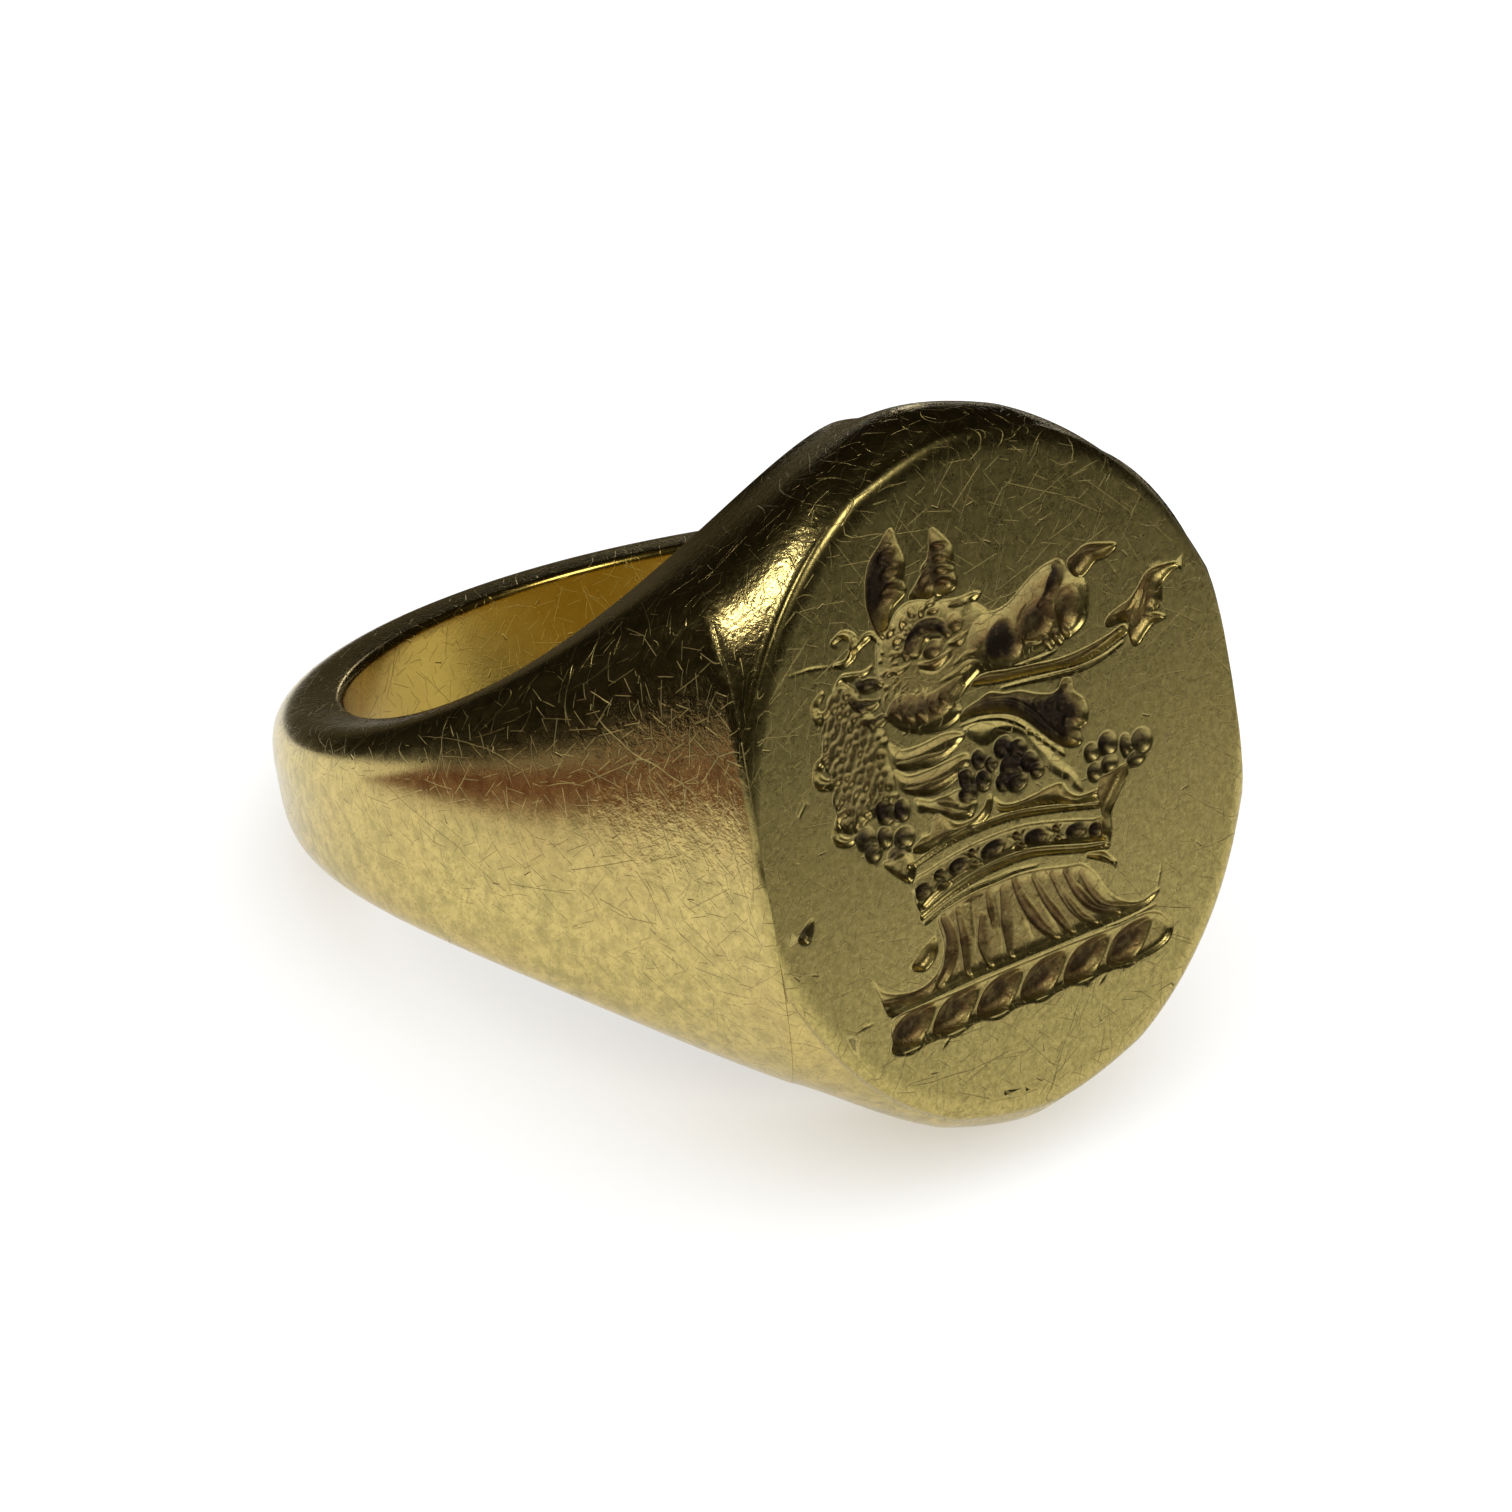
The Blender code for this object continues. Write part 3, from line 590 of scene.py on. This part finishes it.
for points, deep in (
        ([(-3.3, -0.95), (-2.95, -0.75), (-2.62, -0.72), (-2.4, -0.3), (-2.1, -0.35), (-1.75, -0.75),
          (-1.2, -0.8), (-0.8, -0.62), (-0.58, -0.35), (-0.5, -0.5), (-0.7, -0.85), (-1.2, -1.05),
          (-2.0, -1.1), (-2.8, -1.12)], 0.20), ([(-0.42, -0.45), (-0.2, -0.72), (0.25, -0.85), (0.9, -0.85),
                                                 (1.4, -0.8), (1.85, -0.85), (2.05, -1.15), (2.4, -1.38),
                                                 (3.0, -1.42), (2.95, -1.65), (2.3, -1.6), (1.7, -1.35),
                                                 (1.0, -1.15), (0.3, -1.05), (-0.3, -0.85)], 0.22)):
    hollow(points, deep, 0.22, 0.05)
groove([(-3.4, -1.35), (-2.2, -1.12), (-1.0, -1.08), (0.2, -1.15), (1.4, -1.4), (2.6, -1.72), (3.0, -1.82)],
       0.16, 0.14, (0.6, 1, 0.6), True)
hollow([(-3.4, -1.78), (-2.8, -1.62), (-2.0, -1.5), (-1.2, -1.45), (-0.4, -1.45), (0.4, -1.52), (1.2, -1.7),
        (2.0, -1.92), (2.7, -2.14), (3.1, -2.22), (3.12, -2.8), (2.6, -2.72), (1.9, -2.52), (1.2, -2.32),
        (0.5, -2.15), (-0.3, -2.08), (-1.2, -2.1), (-2.1, -2.22), (-2.8, -2.4), (-3.3, -2.55)], 0.12, 0.10,
       0.04)
for x, z, wide, high in ((-3.1, -2.15, 0.32, 0.2), (-2.5, -1.9, 0.2, 0.12), (-1.85, -1.88, 0.36, 0.18),
                         (-1.35, -1.7, 0.15, 0.1), (-1.35, -2.02, 0.12, 0.08), (-0.65, -1.82, 0.44, 0.2),
                         (0.18, -1.75, 0.14, 0.1), (0.25, -2.05, 0.14, 0.1), (0.8, -1.98, 0.4, 0.2),
                         (1.5, -2.0, 0.13, 0.1), (1.5, -2.25, 0.12, 0.08), (2.15, -2.28, 0.38, 0.2),
                         (2.8, -2.48, 0.26, 0.2), (-2.45, -2.2, 0.2, 0.1)):
    dimple(x, z, wide, high, 0.20, -8 if x > 0 else 6, 1.0, 0.95)
for x, z in ((-2.45, -2.05), (-1.35, -1.86), (0.2, -1.9), (1.45, -2.12)):
    ridge([(x - 0.28, z + 0.2), (x + 0.28, z - 0.2)], 0.09, 0.09)
    ridge([(x - 0.28, z - 0.2), (x + 0.28, z + 0.2)], 0.09, 0.09)
groove([(-3.35, -2.75), (-2.8, -2.58), (-2.1, -2.4), (-1.2, -2.27), (-0.3, -2.25), (0.5, -2.32),
        (1.3, -2.52), (2.2, -2.78), (3.0, -2.95)], 0.2, 0.16, (0.7, 1, 0.7), True)
groove([(-3.3, -2.95), (-2.5, -2.72), (-1.6, -2.6), (-0.8, -2.62), (-0.2, -2.6), (0.6, -2.7)], 0.12, 0.10,
       (0.6, 1, 0.4))
groove([(-2.1, -2.86), (-1.5, -2.9), (-1.0, -2.88)], 0.12, 0.10)
groove([(-3.5, -2.0), (-3.4, -2.4), (-3.3, -2.8)], 0.14, 0.14)
groove([(2.3, -3.0), (2.8, -3.2), (3.15, -3.5)], 0.2, 0.16, (0.4, 1, 0.4), True)

# the neck below the collar, in hanging folds that spread to a point on each side
hollow([(-2.85, -2.95), (-2.3, -2.8), (-1.6, -2.72), (-0.9, -2.72), (0.0, -2.75), (0.8, -2.88),
        (1.6, -3.08), (2.1, -3.2), (2.45, -3.55), (2.7, -4.05), (2.95, -4.4), (3.4, -4.72), (3.9, -4.84),
        (4.5, -4.7), (4.0, -4.98), (3.0, -5.04), (2.0, -5.0), (1.0, -4.98), (0.0, -4.96), (-1.0, -4.94),
        (-2.0, -4.92), (-3.2, -4.95), (-4.2, -5.0), (-4.9, -4.98), (-5.1, -4.5), (-5.25, -3.9),
        (-5.0, -4.28), (-4.5, -4.52), (-3.9, -4.62), (-3.4, -4.52), (-3.0, -4.2), (-2.8, -3.7)], 0.18, 0.3,
       0.06)
hollow([(-3.95, -3.98), (-3.7, -3.72), (-3.35, -3.55), (-3.05, -3.46), (-3.08, -3.8), (-3.3, -4.05),
        (-3.6, -4.16)], 0.2, 0.16, 0.06)
for points, width, deep in (
        ([(-2.55, -3.1), (-2.4, -3.7), (-2.65, -4.4), (-3.1, -4.8)], 0.42, 0.18),
        ([(-2.05, -3.05), (-1.98, -3.9), (-2.1, -4.85)], 0.30, 0.18),
        ([(-1.3, -3.5), (-1.42, -4.2), (-1.35, -4.85)], 0.34, 0.16),
        ([(-1.0, -2.85), (-0.98, -3.4), (-1.0, -3.8)], 0.22, 0.16),
        ([(-0.5, -3.0), (-0.55, -3.9), (-0.62, -4.85)], 0.34, 0.14),
        ([(-0.1, -2.85), (0.12, -3.6), (0.55, -4.4), (0.95, -4.85)], 0.34, 0.20),
        ([(0.55, -3.0), (0.85, -3.8), (1.3, -4.6), (1.5, -4.9)], 0.26, 0.16),
        ([(1.15, -3.15), (1.45, -3.9), (1.9, -4.6), (2.3, -4.92)], 0.24, 0.14),
        ([(1.6, -3.2), (1.95, -4.0), (2.5, -4.6), (3.1, -4.9)], 0.28, 0.16),
        ([(2.1, -3.45), (2.4, -4.1), (2.8, -4.6), (3.6, -4.88)], 0.22, 0.10),
        ([(-4.9, -4.65), (-4.2, -4.78), (-3.5, -4.75), (-3.1, -4.6)], 0.26, 0.12)):
    groove(points, width, deep, (0.5, 1.0, 0.4), True, 0.45)
for points in ([(-1.6, -3.0), (-1.72, -3.9), (-1.78, -4.8)], [(-0.8, -3.2), (-0.84, -4.0), (-0.88, -4.85)],
               [(0.0, -3.5), (0.08, -4.1), (0.2, -4.6)], [(0.6, -3.6), (0.95, -4.4), (1.15, -4.85)],
               [(1.3, -3.5), (1.65, -4.3), (2.0, -4.8)], [(2.0, -3.7), (2.4, -4.4), (3.0, -4.8)]):
    ridge(points, 0.12, 0.10)

# the twisted wreath that the neck stands on
hollow([(-4.95, -5.35), (-4.7, -5.08), (-4.0, -5.06), (-3.0, -5.1), (-2.0, -5.1), (-1.0, -5.1),
        (0.0, -5.12), (1.0, -5.14), (2.0, -5.18), (3.0, -5.22), (3.9, -5.2), (4.45, -5.4), (4.72, -5.85),
        (4.45, -6.2), (3.7, -6.34), (2.6, -6.3), (1.4, -6.24), (0.2, -6.22), (-1.0, -6.16), (-2.2, -6.1),
        (-3.4, -6.1), (-4.4, -6.02), (-4.9, -5.75)], 0.14, 0.2, 0.06)
for i in range(6):
    x = -4.1 + 1.5 * i
    z = -5.52 - 0.045 * i
    hollow([(x - 0.95, z - 0.4), (x - 0.55, z + 0.18), (x + 0.1, z + 0.38), (x + 0.75, z + 0.3),
            (x + 0.55, z - 0.1), (x + 0.2, z - 0.42), (x - 0.35, z - 0.56)], 0.24, 0.34, 0.04, 0.45)
    groove([(x - 0.65, z - 0.3), (x - 0.1, z + 0.02), (x + 0.5, z + 0.22)], 0.10, 0.06)
    groove([(x - 0.9, z - 0.5), (x - 0.35, z - 0.62), (x + 0.25, z - 0.54)], 0.09, 0.08)
for x, z in ((-3.3, -6.3), (2.1, -6.45)):
    groove([(x - 0.15, z - 0.12), (x + 0.2, z + 0.12)], 0.07, 0.05)
groove([(2.5, -5.1), (3.2, -5.16), (4.3, -5.08)], 0.10, 0.08)

# knocks on the rim and stray cuts of the graver
hollow([(-7.38, -2.02), (-7.15, -1.78), (-6.8, -1.62), (-6.92, -2.0), (-7.1, -2.2)], 0.14, 0.16, dirty_and_shaded=0.95)
dimple(-6.2, -5.32, 0.16, 0.13, 0.12, 30)
for points in ([(-5.3, -5.0), (-5.8, -4.98), (-6.3, -5.05)], [(4.3, -4.9), (4.6, -4.3), (4.72, -3.95)],
               [(-6.3, 1.5), (-6.6, 1.2), (-6.7, 1.05)], [(4.5, 4.5), (4.7, 4.1), (4.8, 3.75)]):
    groove(points, 0.05, 0.03)
sunk = np.clip(sunk, -0.01, 0.62)
for _ in range(2):
    sunk[1:-1] = (sunk[:-2] + 2 * sunk[1:-1] + sunk[2:]) / 4
    sunk[:, 1:-1] = (sunk[:, :-2] + 2 * sunk[:, 1:-1] + sunk[:, 2:]) / 4

seal_body = blank(-seam, seam)
whole = seal_body.verts[:] + seal_body.edges[:] + seal_body.faces[:]
bmesh.ops.bisect_plane(seal_body, geom=whole, plane_co=(0, table_back, 0), plane_no=(0, 1, 0),
                       clear_outer=True)
close_ends(seal_body)
smooth = seal_body.verts.layers.float_vector["smooth"]
deep = seal_body.verts.layers.float.new("deep")
dirty_and_shaded = seal_body.verts.layers.float.new("dirt_and_shade")
flat = [face for face in seal_body.faces if all(abs(vert.co.y + face_distance) < 1e-5 for vert in face.verts)]
bmesh.ops.delete(seal_body, geom=flat, context="FACES")
rim_line = [edge for edge in seal_body.edges if edge.is_boundary]
cells_x, cells_z, cell = 110, 122, 0.142
plate = bmesh.ops.create_grid(seal_body, x_segments=cells_x, y_segments=cells_z, size=1.0)["verts"]
bmesh.ops.scale(seal_body, vec=(cells_x * cell / 2, cells_z * cell / 2, 1), verts=plate)
bmesh.ops.rotate(seal_body, matrix=Matrix.Rotation(math.radians(90), 3, "X"), verts=plate)
bmesh.ops.translate(seal_body, vec=(0, -face_distance, 0), verts=plate)
outside = [vert for vert in plate if math.hypot(vert.co.x / face_half_width,
                                                vert.co.z / face_half_height) > 0.955]
bmesh.ops.delete(seal_body, geom=outside, context="VERTS")
plate_line = [edge for edge in seal_body.edges if edge.is_boundary and edge not in set(rim_line)]
bmesh.ops.triangle_fill(seal_body, use_beauty=True, edges=rim_line + plate_line, normal=(0, -1, 0))


def cut_depth(x, z):
    """How deep the engraving is at a point of the face, with its slopes."""
    u, v = (x - left) / grain, (z - low) / grain
    if not (1 <= u < len(across_x) - 3 and 1 <= v < len(up_z) - 3):
        return 0.0, 0.0, 0.0
    i, j = int(u), int(v)
    wx, wz = np.array([1 - (u - i), u - i]), np.array([1 - (v - j), v - j])
    patch = sunk[j - 1:j + 3, i - 1:i + 3]
    slope_x = (patch[1:3, 2:] - patch[1:3, :2]) / (2 * grain)
    slope_z = (patch[2:, 1:3] - patch[:2, 1:3]) / (2 * grain)
    return wz @ patch[1:3, 1:3] @ wx, wz @ slope_x @ wx, wz @ slope_z @ wx


# dirt and painted shade spread a little past the cut that holds them
for _ in range(6):
    for step in ((3, 0), (0, 3)):
        dirt_and_shade = (np.roll(dirt_and_shade, step, (0, 1)) + 2 * dirt_and_shade + np.roll(dirt_and_shade, (-step[0], -step[1]), (0, 1))) / 4
dirt_and_shade = np.clip(1.5 * dirt_and_shade, 0, 1)


def dirt_and_shade_at(x, z):
    """How much dirt and painted shade darken the engraving at a point of the face."""
    i, j = int((x - left) / grain + 0.5), int((z - low) / grain + 0.5)
    return dirt_and_shade[j, i] if 0 <= i < len(across_x) and 0 <= j < len(up_z) else 0.0


busy = set()
for face in seal_body.faces:
    if len(face.verts) == 4 and all(abs(vert.co.y + face_distance) < 1e-5 for vert in face.verts):
        middle = face.calc_center_median()
        u, v = int((middle.x - left) / grain), int((middle.z - low) / grain)
        if 5 < u < len(across_x) - 5 and 5 < v < len(up_z) - 5:
            if np.ptp(sunk[v - 4:v + 5, u - 4:u + 5]) > 0.004:
                busy.update(face.edges)
bmesh.ops.subdivide_edges(seal_body, edges=list(busy), cuts=3, use_grid_fill=True)
for vert in seal_body.verts:
    if abs(vert.co.y + face_distance) < 1e-5:
        down, slope_x, slope_z = cut_depth(vert.co.x, vert.co.z)
        vert.co.y += down
        vert[deep] = max(0.0, down)
        vert[dirty_and_shaded] = dirt_and_shade_at(vert.co.x, vert.co.z)
        vert[smooth] = Vector((slope_x + cushion[0] * vert.co.x, -1,
                               slope_z + cushion[2] * vert.co.z)).normalized()
bmesh.ops.recalc_face_normals(seal_body, faces=seal_body.faces)
seal_table = finished(seal_body, "seal_table_engraved", "seal_table")


# --- The worn gold that every piece is made of ---
# Yellow gold, polished long ago and worn since: hairline scratches in every direction, small
# knocks, cloudy patches where skin has dulled it, and dark dirt with painted shade in the deep cuts.
# The bore is painted a darker gold as painted shade, the front a darker, greener gold as a painted
# reflection.

gold = bpy.data.materials.new("worn_gold")
gold.use_nodes = True
tree = gold.node_tree


class Wire:
    """A shader socket that adds a Math node for each sum it is used in."""

    def __init__(self, socket):
        self.socket = socket

    def maths(self, operation, *values):
        return node("Math", {"operation": operation}, dict(enumerate((self,) + values)))

    def __add__(self, other):
        return self.maths("ADD", other)

    __radd__ = __add__

    def __mul__(self, other):
        return self.maths("MULTIPLY", other)

    __rmul__ = __mul__

    def __sub__(self, other):
        return self.maths("SUBTRACT", other)

    def __rsub__(self, other):
        return node("Math", {"operation": "SUBTRACT"}, {0: other, 1: self})

    def __truediv__(self, other):
        return self.maths("DIVIDE", other)

    def __abs__(self):
        return self.maths("ABSOLUTE")

    def between(self, bottom, top):
        """0 below bottom, 1 above top, smooth in between; the other way round if bottom is the larger."""
        inputs = {"Value": self, "From Min": bottom, "From Max": top}
        return node("MapRange", {"interpolation_type": "SMOOTHSTEP"}, inputs)


def node(kind, settings, inputs, out=0):
    """Adds a node, sets its choices and then its sockets, and gives one of its outputs."""
    made = tree.nodes.new("ShaderNode" + kind)
    for name, value in settings.items():
        setattr(made, name, value)
    for name, value in inputs.items():
        if isinstance(value, Wire):
            tree.links.new(value.socket, made.inputs[name])
        else:
            made.inputs[name].default_value = value
    return Wire(made.outputs[out])


def vector(operation, *values, out=0):
    inputs = dict(enumerate(values))
    if operation == "SCALE":
        inputs = {0: values[0], "Scale": values[1]}
    return node("VectorMath", {"operation": operation}, inputs, out)


def mixed(factor, first, second, blend="MIX"):
    return node("Mix", {"data_type": "RGBA", "blend_type": blend}, {0: factor, 6: first, 7: second}, 2)


place = vector("SCALE", node("TexCoord", {}, {}, "Object"), 1000.0)
surface = node("NewGeometry", {}, {}, "Normal")


def noise(size, detail=3.0, roughness=0.55, at=place):
    return node("TexNoise", {}, {"Vector": at, "Scale": 1 / size, "Detail": detail, "Roughness": roughness})


def scratches(cell, width, length, share, at=place):
    """Straight hairlines, at most one in each random cell of this size, lying in the surface."""
    shifted = vector("ADD", at, (3.1 * cell, 7.7 * cell, 5.3 * cell))
    inputs = {"Vector": shifted, "Scale": 1 / cell, "Randomness": 1.0}
    chance = node("TexVoronoi", {}, inputs, "Color")
    middle = node("TexVoronoi", {}, inputs, "Position")
    way = vector("NORMALIZE", vector("CROSS_PRODUCT", surface, vector("SUBTRACT", chance, (0.5, 0.5, 0.5))))
    off = vector("SUBTRACT", shifted, middle)
    side = vector("CROSS_PRODUCT", way, surface)
    aside = abs(vector("DOT_PRODUCT", off, side, out=1))
    along = abs(vector("DOT_PRODUCT", off, way, out=1))
    spread = vector("DOT_PRODUCT", chance, (0.9, 1.7, 2.3), out=1)
    kept = (spread.maths("FRACT") - share).maths("LESS_THAN", 0.0)
    return aside.between(width, width * 0.2) * along.between(length, length * 0.55) * kept


from_axis = vector("SUBTRACT", place, tuple(seat * 1000))
finger_axis = (0, math.sin(math.radians(rest_angle)), math.cos(math.radians(rest_angle)))
ahead = vector("DOT_PRODUCT", from_axis, (0, -finger_axis[2], finger_axis[1]), out=1)
on_front = ahead.between(face_distance - 0.6, face_distance - 0.1)
shoulder = ahead.between(face_distance - 7.0, face_distance - 3.0) * (1 - on_front)

bent = vector("ADD", place, vector("SCALE", node("TexNoise", {}, {"Vector": place, "Scale": 0.45}, 1), 0.5))
hairs = scratches(4.4, 0.016, 2.4, 0.8, bent).maths("MAXIMUM", scratches(1.9, 0.014, 1.2, 0.85))
fine = scratches(0.95, 0.014, 0.7, 0.95).maths("MAXIMUM", scratches(0.5, 0.013, 0.34, 0.95))
nicks = scratches(1.1, 0.035, 0.14, 0.25)
deep_cut = node("Attribute", {"attribute_name": "deep"}, {}, "Fac")
grime_and_shade = node("Attribute", {"attribute_name": "dirt_and_shade"}, {}, "Fac")
cloud = noise(0.42, 8.0, 0.75)
patches = noise(3.5, 3.0, 0.5, vector("ADD", place, (9.0, 2.0, 4.0)))
grit = noise(0.09, 2.0, 0.6)

tone = mixed(cloud.between(0.35, 0.65), (0.375, 0.305, 0.11, 1), (0.61, 0.48, 0.172, 1))
tone = mixed(patches.between(0.4, 0.75) * 0.5, tone, (0.52, 0.38, 0.14, 1))
tone = mixed(grit.between(0.56, 0.70) * 0.6, tone, (0.30, 0.22, 0.08, 1))
radius = vector("LENGTH", vector("CROSS_PRODUCT", from_axis, finger_axis), out=1)
inside = radius.between(bore_radius + 0.3, bore_radius + 0.02)
brushed = noise(0.16, 5.0, 0.8)
# The front face is painted a darker, greener gold than the rest: a painted reflection of the dim room that
# its flat polish mirrors, mottled by the brushed noise.
tone = mixed(on_front, tone, mixed(brushed.between(0.3, 0.7), (0.29, 0.232, 0.075, 1),
                                   (0.50, 0.398, 0.135, 1)))
# The bore is painted a darker, deeper gold than the outside: painted shade inside the ring.
tone = mixed(inside, tone, (0.47, 0.33, 0.068, 1))
tone = mixed((hairs * 0.6 + fine * 0.6 + nicks) * (0.35 + 0.4 * on_front), tone, (0.22, 0.16, 0.06, 1))
stain = noise(0.3, 4.0, 0.6)
# The cuts are painted a browner gold with depth: partly dirt, partly painted shade for the bounce light of
# gold on gold inside them.
tone = mixed(deep_cut.between(0.05, 0.34) * (0.35 + 0.65 * stain.between(0.35, 0.6)), tone,
             (0.26, 0.155, 0.055, 1))
# The engraving is painted near black where its cuts were given dirt and painted shade.
tone = mixed(grime_and_shade * (0.8 + 0.6 * stain.between(0.3, 0.6)), tone, (0.045, 0.032, 0.02, 1))
# The deepest cuts are painted near black: partly dirt, partly painted shade.
tone = mixed(deep_cut.between(0.42, 0.6) * 0.8, tone, (0.05, 0.034, 0.02, 1))
dull = 0.16 + 0.05 * cloud.between(0.35, 0.7) + 0.15 * hairs + 0.12 * fine + 0.06 * grit
dull = dull + 0.075 * on_front + 0.14 * deep_cut.between(0.04, 0.3) + 0.2 * grime_and_shade
rubbed = hairs * 0.24 + fine * 0.2
rubbed = rubbed * (1 + 0.9 * on_front + 1.2 * shoulder)
height = noise(0.9, 4.0, 0.6) * 0.2 + grit * 0.13 - nicks * 0.6 - rubbed
height = height + shoulder * noise(0.24, 3.0, 0.65) * 1.8 + on_front * brushed * 0.45
height = height + deep_cut.between(0.05, 0.2) * noise(0.17, 4.0, 0.7) * 2.2
worn = node("Bump", {}, {"Strength": 1.0, "Distance": 0.000012, "Height": height})
shader = tree.nodes["Principled BSDF"]
shader.inputs["Metallic"].default_value = 1.0
for socket, wire in (("Base Color", tone), ("Roughness", dull), ("Normal", worn)):
    tree.links.new(wire.socket, shader.inputs[socket])
seal_table.data.materials.append(gold)


# --- The solder under the seal table, and the saddle head that it closes ---
# The head is a thick block of the same gold, bored to the finger and hollowed to the saddle shape.
# A film of gold solder joins the table to it, filed away flush all round.

head_body = blank(-seam, seam)
whole = head_body.verts[:] + head_body.edges[:] + head_body.faces[:]
bmesh.ops.bisect_plane(head_body, geom=whole, plane_co=(0, table_back + solder_width, 0),
                       plane_no=(0, -1, 0), clear_outer=True)
close_ends(head_body)
head = finished(head_body, "head_saddle", "head_block")
film_body = blank(-seam, seam)
for level, way in ((table_back, -1), (table_back + solder_width, 1)):
    whole = film_body.verts[:] + film_body.edges[:] + film_body.faces[:]
    bmesh.ops.bisect_plane(film_body, geom=whole, plane_co=(0, level, 0), plane_no=(0, way, 0),
                           clear_outer=True)
close_ends(film_body)
table_solder = finished(film_body, "table_solder_film", "table_solder")
solder = gold.copy()
solder.name = "worn_gold_solder"
head.data.materials.append(gold)
table_solder.data.materials.append(solder)


# --- The two arms of the shank ---
# Each arm is one bent piece of heavy half-round gold, tapered from the head to the back of the
# finger and butt-soldered at both ends. The joints are filed and polished until they vanish.

arms = (finished(blank(-sizing + film, -seam - film), "arm_left", "shank_arm_left"),
        finished(blank(seam + film, sizing - film), "arm_right", "shank_arm_right"))
for arm in arms:
    arm.data.materials.append(gold)
for name, node_name, first, last in (("head_seam_left", "head_solder_left", -seam - film, -seam),
                                     ("head_seam_right", "head_solder_right", seam, seam + film)):
    seam_piece = finished(blank(first, last), name, node_name)
    seam_piece.data.materials.append(solder)


# --- The sizing piece let in at the back of the finger, with its two solder seams ---
# When the ring was sized a short length of the same wire was let into the shank opposite the seal.
# It is soldered at both ends and filed level with the arms.

sizing_insert = finished(blank(sizing, -sizing), "sizing_insert", "sizing_piece")
sizing_insert.data.materials.append(gold)
for name, node_name, first, last in (("sizing_seam_left", "sizing_solder_left", -sizing, -sizing + film),
                                     ("sizing_seam_right", "sizing_solder_right", sizing - film, sizing)):
    seam_piece = finished(blank(first, last), name, node_name)
    seam_piece.data.materials.append(solder)
